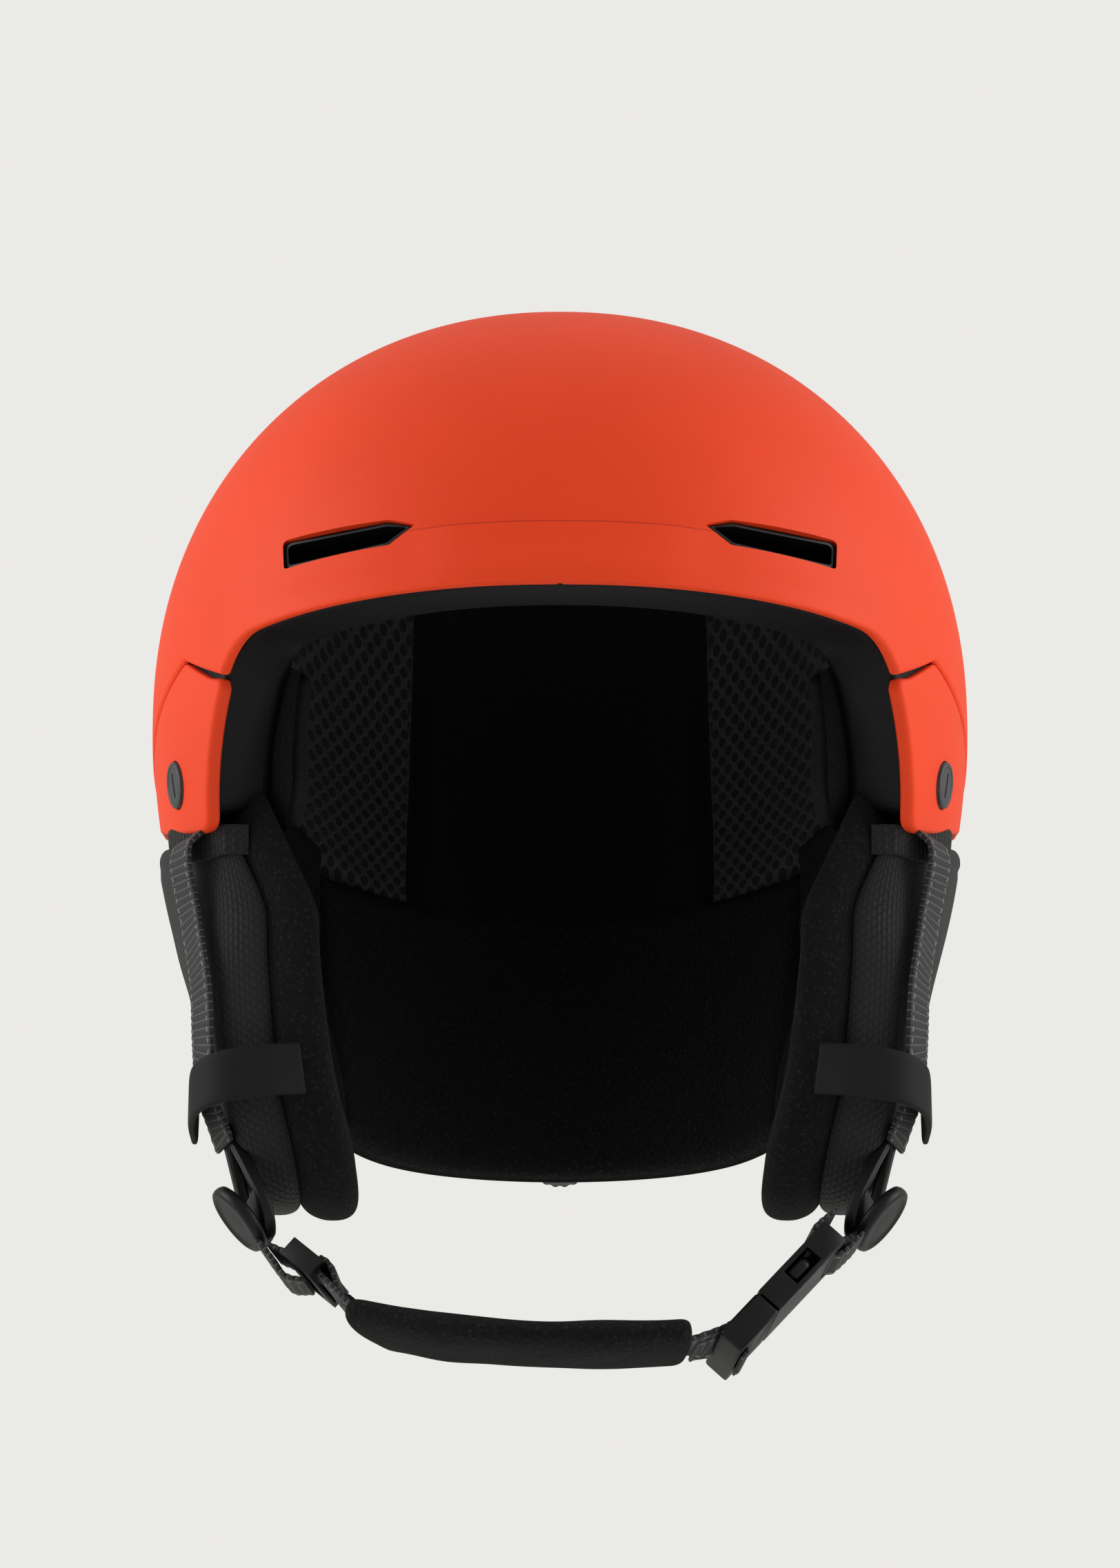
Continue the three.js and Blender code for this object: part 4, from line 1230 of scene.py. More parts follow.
steel, surface = hard_material("satin_steel", (0.50, 0.50, 0.51), 0.34, (0.7, 0.7, 0.7), 900, 0.1)
surface.inputs["Metallic"].default_value = 1.0
rubber, surface = hard_material(
    "matte_rubber", (0.0045, 0.0045, 0.0048), 0.70, (0.008, 0.008, 0.0083), 1800, 0.15, 0.00004
)
surface.inputs["Specular IOR Level"].default_value = 0.25
IN_STEEL = ("steel", steel)
IN_BLACK = ("black_plastic", black_plastic)
IN_RUBBER = ("soft_rubber", rubber)
HARD_PARTS = [
    ("webbing_anchor_front_left", "strap_anchor_front_left", "shell", IN_STEEL, 0.0005),
    ("webbing_anchor_front_right", "strap_anchor_front_right", "shell", IN_STEEL, 0.0005),
    ("webbing_anchor_rear_left", "strap_anchor_rear_left", "shell", IN_STEEL, 0.0005),
    ("webbing_anchor_rear_right", "strap_anchor_rear_right", "shell", IN_STEEL, 0.0005),
    ("pad_snap_front_left", "ear_snap_front_left", "shell", IN_BLACK, 0.0004),
    ("pad_snap_front_right", "ear_snap_front_right", "shell", IN_BLACK, 0.0004),
    ("pad_snap_rear_left", "ear_snap_rear_left", "shell", IN_BLACK, 0.0004),
    ("pad_snap_rear_right", "ear_snap_rear_right", "shell", IN_BLACK, 0.0004),
    ("clip_base", "goggle_clip_base", "shell", IN_BLACK, 0.0007),
    ("clip_pin", "goggle_clip_pin", "shell", IN_STEEL, 0.0002),
    ("clip_rivet", "goggle_clip_rivet", "shell", IN_STEEL, 0.0003),
    ("clip_arm", "goggle_clip_arm", "goggle_clip", IN_RUBBER, 0.0009),
    ("cradle", "nape_cradle", "fit_cradle", IN_BLACK, 0.0006),
    ("dial_foot", "dial_base", "fit_cradle", IN_BLACK, 0.0006),
    ("dial_axle", "dial_post", "fit_cradle", IN_STEEL, 0.0002),
    ("lace_drum", "lace_spool", "fit_dial", IN_STEEL, 0.0002),
    ("divider_frame_left", "strap_divider_left", "ear_flap_left", IN_BLACK, 0.0008),
    ("divider_frame_right", "strap_divider_right", "ear_flap_right", IN_BLACK, 0.0008),
    ("slider", "strap_adjuster", "chin_strap", IN_BLACK, 0.0014),
    ("socket", "buckle_socket", "ear_flap_left", IN_BLACK, 0.0014),
    ("plug", "buckle_plug", "buckle_plug", IN_BLACK, 0.0014),
    ("prong_back", "buckle_prong_rear", "prong_rear", IN_BLACK, 0.0013),
    ("prong_fore", "buckle_prong_front", "prong_front", IN_BLACK, 0.0013),
]
for name, node_name, body, (finish_slot, material), width in HARD_PARTS:
    piece = refine(name, node_name, width)
    dress(piece, material)
    fit(piece, body, finish_slot, node_name)

# ------------------------------------------------------------------ fit dial knob
# A rubber knob at the nape, with grip ribs round its rim and a dished face. It is pressed on
# the spool's axle and turned to pull the cradle in.
DIAL_RADIUS = 0.0115
DIAL_NEAR = 0.0046
DIAL_FACE = 0.0112
dial_node = bpy.data.objects["dial_knob"]
corners = np.array([dial_node.matrix_world @ v.co for v in dial_node.data.vertices])
dial_middle = (corners.min(0) + corners.max(0)) / 2
dial_middle[1] = corners[:, 1].min()


def grip(turn, r, h):
    if r < DIAL_RADIUS - 0.0018:
        return 0.0
    return -0.0006 * (0.5 + 0.5 * math.cos(24 * turn)) ** 2


depth = DIAL_FACE - DIAL_NEAR
knob = round_piece(
    "fit_knob",
    [
        (0.0042, 0.0),
        (DIAL_RADIUS - 0.0006, 0.0),
        (DIAL_RADIUS, 0.0006),
        (DIAL_RADIUS, 0.0022),
        (DIAL_RADIUS, depth - 0.0014),
        (DIAL_RADIUS - 0.0004, depth - 0.0005),
        (DIAL_RADIUS - 0.0012, depth),
        (DIAL_RADIUS - 0.0022, depth + 0.0001),
        (DIAL_RADIUS - 0.0030, depth - 0.0005),
        (0.0050, depth - 0.0009),
        (0.0, depth - 0.0010),
    ],
    sides=192,
    ripple=grip,
)
set_on(knob, dial_middle, (0, 1, 0))
sharpen(knob, 50)
dress(knob, rubber)
fit(knob, "fit_dial", "black_plastic", "dial_knob")

# ------------------------------------------------------------------ nape pad
# A soft plush pad over thin foam, sewn round its edge. It lies on the fit cradle and hugs the
# back of the head.
NAPE_SEAM = -0.0150
NAPE_LOW = -0.103
NAPE_TURN = math.radians(54)


def nape_point(turn, z, out):
    sunk = np.clip((-0.017 - z) / 0.086, 0, 1.1)
    x = (0.085 - 0.011 * sunk + out) * np.sin(turn)
    y = (0.107 - 0.028 * sunk**1.3 + out) * np.cos(turn)
    return np.stack([x, y, z], -1)


turns = np.linspace(-NAPE_TURN, NAPE_TURN, 130)
share = np.linspace(0, 1, 90)
round_off = 0.007 * np.abs(turns / NAPE_TURN) ** 6
heights = NAPE_SEAM + (NAPE_LOW + round_off[None, :] - NAPE_SEAM) * share[:, None]
spread_turns = np.broadcast_to(turns[None, :], heights.shape)
nape = pillow(
    "nape_cushion",
    nape_point(spread_turns, heights, 0.0064),
    nape_point(spread_turns, heights, 0.0),
    0.007,
    0.0004,
    0.018,
)
dress(nape, plush)
fit(nape, "fit_cradle", "plush", "nape_pad")

# ------------------------------------------------------------------ ear pads
# Each ear pad is two soft lobes sewn together round the rim: knitted mesh outside and towards
# the front, plush against the cheek. It hangs from the lining by snaps.
knit, surface, node, link = new_material("knit_mesh")
spot = node("Attribute", attribute_name="cloth")
split = node("SeparateXYZ")
link(spot.outputs["Vector"], split.inputs[0])
KNIT_ROW = 0.0011
KNIT_STITCH = 0.0023
slant = combine("ADD", split.outputs["X"], combine("MULTIPLY", split.outputs["Y"], 0.9))
row = off_middle(scaled(split.outputs["Y"], KNIT_ROW))
stitch = off_middle(scaled(slant, KNIT_STITCH))
loops = combine("MULTIPLY", combine("MULTIPLY", row, 2.0), combine("MULTIPLY", stitch, 2.0))
raised_lit_loops = node("MapRange", interpolation_type="SMOOTHSTEP")
raised_lit_loops.inputs["From Min"].default_value = 0.10
raised_lit_loops.inputs["From Max"].default_value = 0.55
link(loops, raised_lit_loops.inputs["Value"])
# Painted shade and light: the raised loops are coloured lighter and the gaps between them darker,
# as if lit and shaded.
tone = node("Mix", data_type="RGBA")
link(raised_lit_loops.outputs[0], tone.inputs["Factor"])
tone.inputs["A"].default_value = (0.0012, 0.0012, 0.0013, 1)
tone.inputs["B"].default_value = (0.0070, 0.0070, 0.0074, 1)
link(tone.outputs["Result"], surface.inputs["Base Color"])
yarn_noise = node("TexNoise", Scale=2400.0, Detail=3.0)
place = node("TexCoord")
link(place.outputs["Object"], yarn_noise.inputs["Vector"])
dents = node("Bump", Distance=0.0004)
link(
    combine("ADD", raised_lit_loops.outputs[0], combine("MULTIPLY", yarn_noise.outputs["Fac"], 0.3)),
    dents.inputs["Height"],
)
link(dents.outputs[0], surface.inputs["Normal"])
surface.inputs["Roughness"].default_value = 0.8
surface.inputs["Sheen Weight"].default_value = 0.05

EAR_EDGE = [
    (-0.0610, -0.0480), (-0.0450, -0.0400), (-0.0200, -0.0345), (0.0120, -0.0290),
    (0.0400, -0.0380), (0.0500, -0.0580), (0.0440, -0.0880), (0.0240, -0.1140),
    (-0.0060, -0.1320), (-0.0340, -0.1350), (-0.0510, -0.1190), (-0.0590, -0.0840),
]
EAR_CENTRE = np.array([-0.006, -0.084])


def ear_outer(y, z):
    lower = np.clip((-0.050 - z) / 0.060, 0, 1)
    tail = np.clip((-0.060 - z) / 0.045, 0, 1)
    return (
        -0.104 + 0.27 * (-0.055 - z) + 4.4 * y**2 * (1 - 0.75 * lower)
        + 9.0 * np.maximum(0, y + 0.005) ** 2 * tail
    )


def closed_curve(corners, count):
    """A smooth closed line through its corners, evenly spaced."""
    p = np.array(corners)
    n = len(p)
    line = []
    for i in range(n):
        a, b, c, d = p[i - 1], p[i], p[(i + 1) % n], p[(i + 2) % n]
        for t in np.linspace(0, 1, 40, endpoint=False):
            line.append(0.5 * (2 * b + (c - a) * t + (2 * a - 5 * b + 4 * c - d) * t**2
                               + (3 * b - a - 3 * c + d) * t**3))
    line = np.array(line + [line[0]])
    return spread_evenly(line, count + 1)[:-1]


EAR_SIDES = 220
ear_line = closed_curve(EAR_EDGE, EAR_SIDES)
ahead = np.roll(ear_line, -1, 0) - np.roll(ear_line, 1, 0)
ear_out = unit(np.stack([ahead[:, 1], -ahead[:, 0]], -1))
if np.sum((ear_line - EAR_CENTRE) * ear_out) < 0:
    ear_out = -ear_out
OUTER_BULGE = 0.0052
INNER_BULGE = 0.0080


def plump(a, power):
    return math.copysign(abs(a) ** power, a)


# Steps round the rim: outwards, the share of the way across, and 0 for knit or 1 for plush.
OUTER_LOBE = 0.47
rim_steps = []
for a in np.radians(np.linspace(-90, 62, 17)):
    outwards = OUTER_BULGE * (plump(math.cos(a), 0.8) - 1)
    rim_steps.append((outwards, OUTER_LOBE * (1 + plump(math.sin(a), 0.8)) / 1.9, 0))
rim_steps.append((-0.0042, 0.465, 0))
for a in np.radians(np.linspace(-62, 90, 21)):
    outwards = INNER_BULGE * (plump(math.cos(a), 0.8) - 1) + 0.0012
    across = OUTER_LOBE + (1 - OUTER_LOBE) * (1 + plump(math.sin(a), 0.8)) / 2
    rim_steps.append((outwards, across, 1))


def ear_thickness(y, z):
    """From the outer face to the inner one, thicker towards the rear and thin at the top."""
    top = np.clip((-0.046 - z) / 0.020, 0, 1)
    top = top * top * (3 - 2 * top)
    foot = np.clip((-0.075 - z) / 0.050, 0, 1)
    tail = np.clip(y / 0.045, 0, 1) * np.clip((-0.060 - z) / 0.045, 0, 1)
    return (0.016 + 0.011 * top + 0.003 * foot) * (1 - 0.55 * tail)


def closed_tube(name, rings, first_end, last_end):
    """A closed mesh over rings of points, with a point at each end."""
    count, around = rings.shape[:2]
    points = list(rings.reshape(-1, 3)) + [first_end, last_end]
    faces = grid_faces(count, around, wrap_columns=True)
    base = (count - 1) * around
    faces += [(count * around, (j + 1) % around, j) for j in range(around)]
    faces += [(count * around + 1, base + j, base + (j + 1) % around) for j in range(around)]
    return mesh_piece(name, points, faces, closed_normals=False)


FACE_RINGS = 22
for hand, side in (("left", 1), ("right", -1)):
    rows_of_points, kinds = [], []
    around = np.linspace(0, 1, EAR_SIDES, endpoint=False) * 0.33
    for ring in range(1, FACE_RINGS + 1):
        t = ring / FACE_RINGS
        inner_line = ear_line - ear_out * OUTER_BULGE
        p = EAR_CENTRE + (inner_line - EAR_CENTRE) * t
        puff = -0.0012 * math.sqrt(max(1 - t**4, 0))
        x = ear_outer(p[:, 0], p[:, 1]) + puff
        x += 0.0005 * lump(np.stack([x, p[:, 0], p[:, 1]], -1), 0.016, side * 0.4)
        rows_of_points.append(np.stack([x, p[:, 0], p[:, 1]], -1))
        kinds.append(0)
    for offset, across, kind in rim_steps[1:-1]:
        p = ear_line + ear_out * offset
        thick = ear_thickness(p[:, 0], p[:, 1])
        x = ear_outer(p[:, 0], p[:, 1]) + thick * across
        wrinkle = 0.00045 * lump(np.stack([x, p[:, 0], p[:, 1]], -1), 0.009, 1.3)
        p = p + ear_out * wrinkle[:, None]
        tuck = smooth(-0.066, -0.040, p[:, 1]) * (1 - smooth(0.0, 0.030, p[:, 0]))
        lifted = p[:, 1] + 0.014 * tuck * smooth(0.5, 1.0, np.full(len(p), across))
        rows_of_points.append(np.stack([x, p[:, 0], lifted], -1))
        kinds.append(kind)
    for ring in range(FACE_RINGS, 0, -1):
        t = ring / FACE_RINGS
        inner_line = ear_line - ear_out * (INNER_BULGE - 0.0012)
        p = EAR_CENTRE + (inner_line - EAR_CENTRE) * t
        dome = 0.0035 * (1 - t**3) - 0.0065 * math.exp(-((t / 0.42) ** 4))
        x = ear_outer(p[:, 0], p[:, 1]) + ear_thickness(p[:, 0], p[:, 1]) + dome
        x += 0.0006 * lump(np.stack([x, p[:, 0], p[:, 1]], -1), 0.014, 2.1)
        tuck = smooth(-0.066, -0.040, p[:, 1]) * (1 - smooth(0.0, 0.030, p[:, 0]))
        rows_of_points.append(np.stack([x, p[:, 0], p[:, 1] + 0.014 * tuck], -1))
        kinds.append(1)
    grid = np.array(rows_of_points)
    gaps = np.linalg.norm(np.diff(grid, axis=0), axis=-1).mean(1)
    along = np.r_[0, np.cumsum(gaps)]
    cloth = np.stack(
        [np.broadcast_to(around, grid.shape[:2]),
         np.broadcast_to(along[:, None], grid.shape[:2]),
         np.zeros(grid.shape[:2])], -1)
    grid[..., 0] *= -side
    pad = closed_tube(f"ear_cushion_{hand}", grid, grid[0].mean(0), grid[-1].mean(0))
    give(pad, "cloth", np.concatenate([cloth.reshape(-1, 3), np.zeros((2, 3))]))
    fix_normals(pad)
    dress(pad, knit, plush)
    seam_row = kinds.index(1)
    first = len(grid) * EAR_SIDES
    for face in pad.data.polygons:
        low = min(face.vertices)
        row_of = min(v // EAR_SIDES for v in face.vertices if v < first) if low < first else 0
        face.material_index = 1 if row_of >= seam_row - 1 else 0
    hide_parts(f"ear_pad_{hand}")
    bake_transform(pad)

# ------------------------------------------------------------------ webbing
# 15 mm polyester webbing, woven with a rib across it every 2 mm, the crest of each rib carrying a
# painted highlight, and a stitched line near each edge. One strap comes down in front of each ear
# and one behind; both meet at the divider.
webbing, surface, node, link = new_material("webbing")
spot = node("Attribute", attribute_name="cloth")
split = node("SeparateXYZ")
link(spot.outputs["Vector"], split.inputs[0])
RIB_PITCH = 0.0020
STITCHES_OUT = 0.0058
rib = off_middle(scaled(split.outputs["Y"], RIB_PITCH))
# Painted highlight: the crest of each rib is coloured light, as if it caught the light.
lit = node("MapRange", interpolation_type="SMOOTHSTEP")
lit.inputs["From Min"].default_value = 0.13
lit.inputs["From Max"].default_value = 0.05
link(rib, lit.inputs["Value"])
thread = off_middle(scaled(split.outputs["X"], 0.0009))
rib_highlight = combine("MULTIPLY", lit.outputs[0], combine("ADD", combine("MULTIPLY", thread, 1.2), 0.35))
edge_line = node("MapRange", interpolation_type="SMOOTHSTEP")
edge_line.inputs["From Min"].default_value = 0.0006
edge_line.inputs["From Max"].default_value = 0.0002
off_middle_line = combine("ABSOLUTE", split.outputs["X"], 0.0)
from_stitches = combine("ABSOLUTE", combine("SUBTRACT", off_middle_line, STITCHES_OUT), 0.0)
link(from_stitches, edge_line.inputs["Value"])
dotted = node("MapRange", interpolation_type="SMOOTHSTEP")
dotted.inputs["From Min"].default_value = 0.22
dotted.inputs["From Max"].default_value = 0.34
link(off_middle(scaled(split.outputs["Y"], 0.0026)), dotted.inputs["Value"])
dots = combine("MULTIPLY", edge_line.outputs[0], dotted.outputs[0])
light = combine("MAXIMUM", combine("MULTIPLY", rib_highlight, 0.6), dots)
# The light tone is the painted rib highlight, and the thread of the dotted stitches.
tone = node("Mix", data_type="RGBA")
link(light, tone.inputs["Factor"])
tone.inputs["A"].default_value = (0.0042, 0.0042, 0.0045, 1)
tone.inputs["B"].default_value = (0.16, 0.16, 0.165, 1)
link(tone.outputs["Result"], surface.inputs["Base Color"])
yarn_noise = node("TexNoise", Scale=3000.0, Detail=2.0)
place = node("TexCoord")
link(place.outputs["Object"], yarn_noise.inputs["Vector"])
dents = node("Bump", Distance=0.00035)
ribs, fuzz = combine("MULTIPLY", rib, 2.0), combine("MULTIPLY", yarn_noise.outputs["Fac"], 0.4)
link(combine("ADD", ribs, fuzz), dents.inputs["Height"])
link(dents.outputs[0], surface.inputs["Normal"])
surface.inputs["Roughness"].default_value = 0.7
surface.inputs["Sheen Weight"].default_value = 0.04


def open_curve(points, step):
    """A smooth line through points, evenly spaced."""
    p = np.array(points, float)
    p = np.concatenate([[2 * p[0] - p[1]], p, [2 * p[-1] - p[-2]]])
    line = []
    for i in range(1, len(p) - 2):
        a, b, c, d = p[i - 1 : i + 3]
        for t in np.linspace(0, 1, 40, endpoint=False):
            line.append(0.5 * (2 * b + (c - a) * t + (2 * a - 5 * b + 4 * c - d) * t**2
                               + (3 * b - a - 3 * c + d) * t**3))
    line.append(p[-2])
    line = np.array(line)
    length = np.linalg.norm(np.diff(line, axis=0), axis=1).sum()
    return spread_evenly(line, max(int(length / step), 8))


def course(stops, step):
    """The middle line through stops (x, y, z, outward x, y, z), with the way out, the way
    across and the run at each point."""
    line = open_curve(stops, step)
    middle = line[:, :3]
    ahead = unit(np.gradient(middle, axis=0))
    out = line[:, 3:]
    out = unit(out - ahead * np.sum(out * ahead, 1)[:, None])
    across = np.cross(ahead, out)
    run = np.r_[0, np.cumsum(np.linalg.norm(np.diff(middle, axis=0), axis=1))]
    return middle, out, across, run


def band(name, stops, width, thickness, rib=0.00010, squareness=0.35):
    """A flat woven band along the course of its stops."""
    middle, out, across, run = course(stops, 0.0004)
    angles = np.linspace(0, math.tau, 44, endpoint=False)
    a = np.array([plump(math.cos(t), 0.30) for t in angles]) * width / 2
    b = np.array([plump(math.sin(t), squareness) for t in angles]) * thickness / 2
    wave = 1 + rib / (thickness / 2) * np.cos(math.tau * run / RIB_PITCH)
    ends = np.clip(np.minimum(run, run[-1] - run) / 0.0012, 0.0, 1)
    grown = 0.55 + 0.45 * np.sqrt(1 - (1 - ends) ** 2)
    rows = (
        middle[:, None]
        + across[:, None] * (a[None, :, None] * (0.96 + 0.04 * grown)[:, None, None])
        + out[:, None] * (b[None, :, None] * (wave * grown)[:, None, None])
    )
    count, around = rows.shape[:2]
    piece = closed_tube(name, rows, middle[0], middle[-1])
    cloth = np.stack(
        [np.broadcast_to(a, (count, around)), np.broadcast_to(run[:, None], (count, around)),
         np.zeros((count, around))], -1).reshape(-1, 3)
    give(piece, "cloth", np.concatenate([cloth, np.zeros((2, 3))]))
    fix_normals(piece)
    return piece


def on_ear(y, z, lift):
    """A strap stop that lies on the right ear pad's outer face."""
    return (float(ear_outer(np.array(y), np.array(z))) - lift, y, z, -1, 7.5 * y, -0.25)


def flip(stops, side):
    return [(-side * s[0], s[1], s[2], -side * s[3], s[4], s[5]) for s in stops]


WEB_WIDTH = 0.015
WEB_THICK = 0.0016
DIVIDER_OUT = (-0.9, -0.3, -0.31)
front_stops = [
    (-0.0893, -0.050, -0.0326, -1, -0.45, 0.1),
    (-0.0950, -0.0535, -0.0412, -1, -0.48, 0.1),
    (-0.0992, -0.0550, -0.0475, -1, -0.42, -0.1),
    on_ear(-0.0520, -0.064, 0.0046),
    on_ear(-0.0530, -0.082, 0.0040),
    on_ear(-0.0510, -0.097, 0.0044),
    on_ear(-0.046, -0.109, 0.0046),
    (-0.0885, -0.0430, -0.1175, *DIVIDER_OUT),
    (-0.0866, -0.0425, -0.1225, *DIVIDER_OUT),
]
rear_stops = [
    (-0.0901, 0.051, -0.032, -1, 0.2, 0.1),
    (-0.0900, 0.050, -0.044, -1, 0.2, 0.2),
    (-0.0964, 0.045, -0.054, -1, 0.2, 0.1),
    on_ear(0.038, -0.062, 0.0032),
    on_ear(0.022, -0.076, 0.0034),
    on_ear(0.002, -0.091, 0.0028),
    on_ear(-0.016, -0.102, 0.0019),
    on_ear(-0.032, -0.1105, 0.0015),
]
for hand, side in (("left", 1), ("right", -1)):
    for what, stops in (("front", front_stops), ("rear", rear_stops)):
        strap = band(f"{what}_webbing_{hand}", flip(stops, side), WEB_WIDTH, WEB_THICK)
        dress(strap, webbing)
        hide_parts(f"{what}_strap_{hand}")
        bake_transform(strap)

# A woven binding closes the top of each ear pad under the side panel's edge.
binding_stops = [
    (-0.0810, -0.0608, -0.0450, 0.25, -1.0, -0.1),
    (-0.0875, -0.0614, -0.0452, -0.25, -1.0, -0.1),
    (-0.0922, -0.0568, -0.0452, -0.80, -0.7, -0.1),
    (-0.0972, -0.0485, -0.0432, -1, -0.30, -0.1),
    (-0.1030, -0.0350, -0.0380, -1, -0.15, -0.1),
    (-0.1050, -0.0160, -0.0325, -1, 0, -0.1),
    (-0.1055, 0.0060, -0.0268, -1, 0, -0.1),
]
for hand, side in (("left", 1), ("right", -1)):
    binding = band(f"ear_binding_{hand}", flip(binding_stops, side), 0.0080, 0.0014)
    dress(binding, knit)
    fit(binding, "shell", "webbing")

# ------------------------------------------------------------------ strap keepers
# A wide rubber band, sewn to the ear pad's front edge, goes round the front strap and holds it
# to the pad.
keeper_plan = [
    (-0.0660, -0.0600), (-0.0760, -0.0640), (-0.0865, -0.0635), (-0.0928, -0.0580),
    (-0.0950, -0.0480), (-0.0950, -0.0360),
]
KEEPER_LEVEL = -0.1060
KEEPER_DROOP = 0.0016
for hand, side in (("left", 1), ("right", -1)):
    stops = []
    plan = np.array(keeper_plan)
    turn = unit(np.gradient(plan, axis=0))
    for step, ((x, y), (tx, ty)) in enumerate(zip(plan, turn)):
        stops.append((x, y, KEEPER_LEVEL - KEEPER_DROOP * step, ty, -tx, 0.0))
    keeper = band(
        f"rubber_keeper_{hand}", flip(stops, side), 0.0135, 0.0020, rib=0.0, squareness=0.5
    )
    dress(keeper, rubber)
    fit(keeper, f"ear_flap_{hand}", "soft_rubber", f"strap_keeper_{hand}")

# ------------------------------------------------------------------ divider discs
# A round moulded boss at the foot of each divider, where the two straps are gathered. It has a
# raised rim and a flat face.
disc_facing = Vector((-0.743, -0.18, -0.644)).normalized()
for hand, side in (("left", 1), ("right", -1)):
    box = bpy.data.objects[f"divider_disc_{hand}"]
    corners = np.array([box.matrix_world @ v.co for v in box.data.vertices])
    middle = Vector(corners.mean(0))
    facing = Vector((-side * disc_facing.x, disc_facing.y, disc_facing.z))
    heights = (corners - np.array(middle)) @ np.array(facing)
    high = heights.max() - 0.0006
    low = high - 0.0034
    disc = round_piece(
        f"gather_disc_{hand}",
        [
            (0.0, low), (0.0086, low), (0.0094, low + 0.0004), (0.0097, low + 0.0012),
            (0.0097, high - 0.0012), (0.0094, high - 0.0004), (0.0087, high),
            (0.0078, high + 0.0001), (0.0073, high - 0.0003), (0.0040, high - 0.0001),
            (0.0, high),
        ],
        sides=96,
    )
    set_on(disc, middle, facing)
    sharpen(disc, 50)
    dress(disc, black_plastic)
    fit(disc, f"ear_flap_{hand}", "black_plastic", f"divider_disc_{hand}")

# ------------------------------------------------------------------ chin strap
# The webbing leaves the right divider, is doubled back through the slider, and runs into the
# sleeve of the chin pad. Its spare end hangs over the sleeve and is finished by a moulded tab.
lower_stops = [
    (-0.0732, -0.0435, -0.1506, -0.55, 0.0, -0.83),
    (-0.0630, -0.0465, -0.1560, -0.55, 0.0, -0.83),
    (-0.0555, -0.0520, -0.1645, -0.75, 0.0, -0.66),
    (-0.0505, -0.0556, -0.1692, -0.60, 0.0, -0.80),
    (-0.0450, -0.0590, -0.1722, -0.40, 0.0, -0.92),
]
lower = band("chin_webbing", lower_stops, WEB_WIDTH, WEB_THICK)
dress(lower, webbing)
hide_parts("lower_strap_right")
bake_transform(lower)
bulge_stops = [
    (-0.0765, -0.0430, -0.1490, -0.60, 0.0, -0.80),
    (-0.0725, -0.0445, -0.1545, -0.70, 0.0, -0.71),
    (-0.0690, -0.0460, -0.1590, -0.60, 0.0, -0.80),
    (-0.0640, -0.0468, -0.1600, -0.35, 0.0, -0.93),
]
bulge = band("doubled_webbing", bulge_stops, WEB_WIDTH, WEB_THICK)
dress(bulge, webbing)
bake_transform(bulge)
tail_stops = [
    (-0.0598, -0.0480, -0.1552, 0.75, 0.0, 0.66),
    (-0.0573, -0.0490, -0.1580, 0.85, 0.0, 0.50),
    (-0.0556, -0.0500, -0.1630, 0.80, 0.0, 0.60),
    (-0.0525, -0.0510, -0.1670, 0.55, 0.0, 0.83),
]
tail = band("spare_webbing", tail_stops, WEB_WIDTH, WEB_THICK)
dress(tail, webbing)
fit(tail, "chin_strap", "webbing")
tab_stops = [
    (-0.0540, -0.0507, -0.1655, 0.60, 0.0, 0.80),
    (-0.0505, -0.0513, -0.1683, 0.50, 0.0, 0.86),
    (-0.0470, -0.0520, -0.1700, 0.45, 0.0, 0.89),
]
tab = band("end_tab", tab_stops, 0.0170, 0.0036, rib=0.0, squareness=0.6)
dress(tab, black_plastic)
fit(tab, "chin_strap", "black_plastic")

chin_stops = [
    (-0.0478, -0.0575, -0.1716, -0.26, -0.05, -0.96),
    (-0.0430, -0.0600, -0.1732, -0.22, -0.05, -0.97),
    (-0.0280, -0.0650, -0.1766, -0.14, -0.05, -0.98),
    (-0.0060, -0.0680, -0.1788, -0.03, -0.05, -1.0),
    (0.0140, -0.0676, -0.1790, 0.06, -0.05, -1.0),
    (0.0315, -0.0656, -0.1778, 0.14, -0.05, -0.98),
]
middle, out, across, run = course(chin_stops, 0.0009)
angles = np.linspace(0, math.tau, 72, endpoint=False)
a = np.array([plump(math.cos(t), 0.62) for t in angles]) * 0.0137
b = np.array([plump(math.sin(t), 0.85) for t in angles]) * 0.0042
ends = np.clip(np.minimum(run, run[-1] - run) / 0.0032, 0.0, 1)
grown = np.sqrt(np.maximum(1 - (1 - ends) ** 2.4, 0.02))
middle_bumps = 1 + 0.10 * np.exp(-(((run - 0.020) / 0.009) ** 2)) + 0.10 * np.exp(
    -(((run - 0.060) / 0.009) ** 2)
)
rows = (
    middle[:, None]
    + across[:, None] * (a[None, :, None] * (0.75 + 0.25 * grown)[:, None, None])
    + out[:, None] * (b[None, :, None] * ((0.75 + 0.25 * grown) * middle_bumps)[:, None, None])
)
rows += unit(rows - middle[:, None]) * (0.0004 * lump(rows, 0.010, 0.8))[..., None]
chin = closed_tube("chin_sleeve", rows, middle[0], middle[-1])
fix_normals(chin)
dress(chin, plush)
fit(chin, "chin_strap", "plush", "chin_pad")

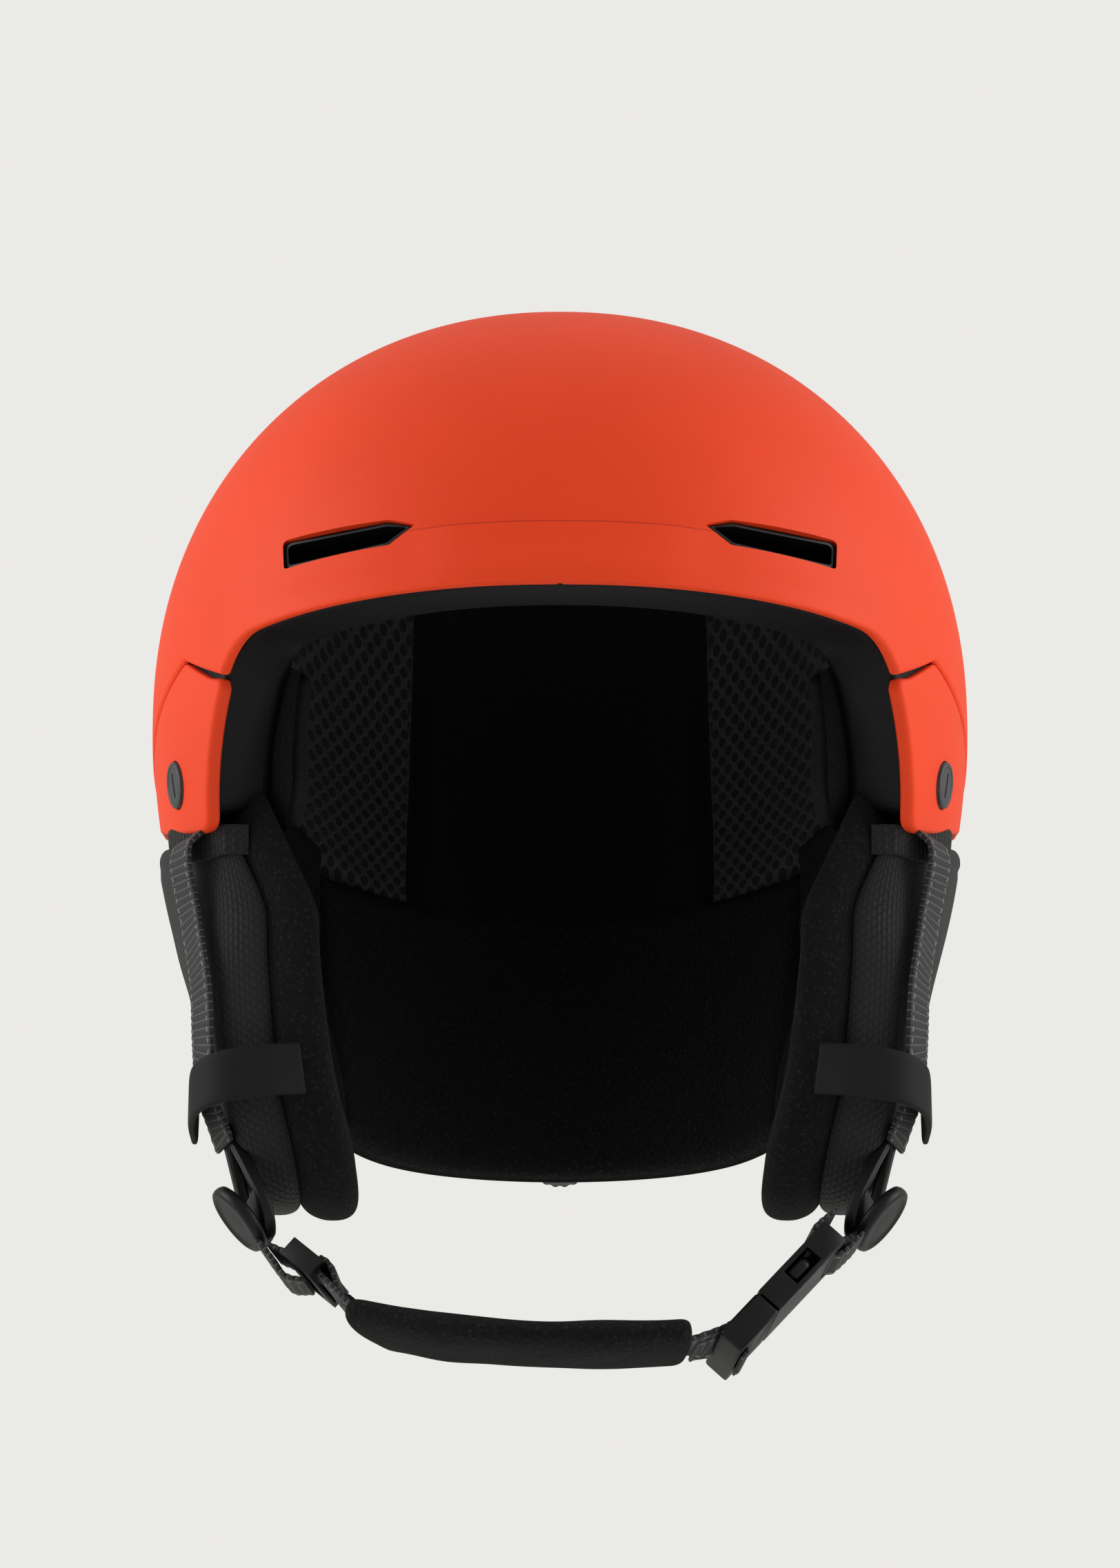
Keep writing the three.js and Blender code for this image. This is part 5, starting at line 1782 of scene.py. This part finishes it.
plug_along = unit(np.array([0.66, 0.2, 0.724]))
end_stops = [
    (0.0285, -0.0660, -0.1800, 0.14, -0.05, -0.98),
    (0.0345, -0.0645, -0.1780, 0.40, -0.05, -0.92),
    (0.0390, -0.0620, -0.1770, 0.62, -0.1, -0.78),
    (0.0430, -0.0600, -0.1745, 0.70, -0.1, -0.70),
]
end = band("plug_webbing", end_stops, WEB_WIDTH, WEB_THICK)
dress(end, webbing)
fit(end, "chin_strap", "webbing", "chin_strap_end")

# Webbing is looped round the bar at the outer end of the plug, and of the socket.
buckle_seam = np.array([0.0505, -0.058, -0.170])
buckle_wide = np.array([0.0, 1.0, 0.0])
buckle_wide = unit(buckle_wide - plug_along * (buckle_wide @ plug_along))
buckle_in = np.cross(plug_along, buckle_wide)


def in_buckle(stops):
    """Stops given as (inward, along, facing inward, facing along) in the buckle's own frame."""
    made = []
    for inward, along, face_in, face_along in stops:
        place = buckle_seam + buckle_in * inward + plug_along * along
        facing = buckle_in * face_in + plug_along * face_along
        made.append((*place, *facing))
    return made


plug_loop = [
    (0.0062, -0.0190, 0.9, -0.4), (0.0046, -0.0150, 1, 0), (0.0040, -0.0116, 0.8, 0.5),
    (0.0, -0.0098, 0.1, 1), (-0.0040, -0.0116, -0.9, 0.4), (-0.0044, -0.0140, -1, 0),
]
loop = band("plug_loop", in_buckle(plug_loop), 0.0146, 0.0013)
dress(loop, webbing)
fit(loop, "buckle_plug", "webbing")
socket_loop = [
    (-0.0050, 0.0330, -1, 0), (-0.0048, 0.0265, -1, 0), (-0.0038, 0.0238, -0.9, -0.4),
    (0.0, 0.0228, -0.2, -1), (0.0038, 0.0238, 0.9, -0.4), (0.0048, 0.0265, 1, 0),
    (0.0040, 0.0330, 1, 0.1),
]
loop = band("socket_loop", in_buckle(socket_loop), 0.0150, 0.0014)
dress(loop, webbing)
fit(loop, "ear_flap_left", "webbing")

# The left divider's webbing goes down to the buckle's socket and loops round its bar.
left_stops = [
    (0.0745, -0.0435, -0.1490, 0.60, 0.0, -0.80),
    (0.0700, -0.0470, -0.1520, 0.66, 0.0, -0.75),
    (0.0655, -0.0510, -0.1550, 0.70, 0.0, -0.71),
    (0.0610, -0.0545, -0.1585, 0.74, 0.0, -0.67),
]
left = band("socket_webbing", left_stops, WEB_WIDTH, 0.0030)
dress(left, webbing)
fit(left, "ear_flap_left", "webbing")
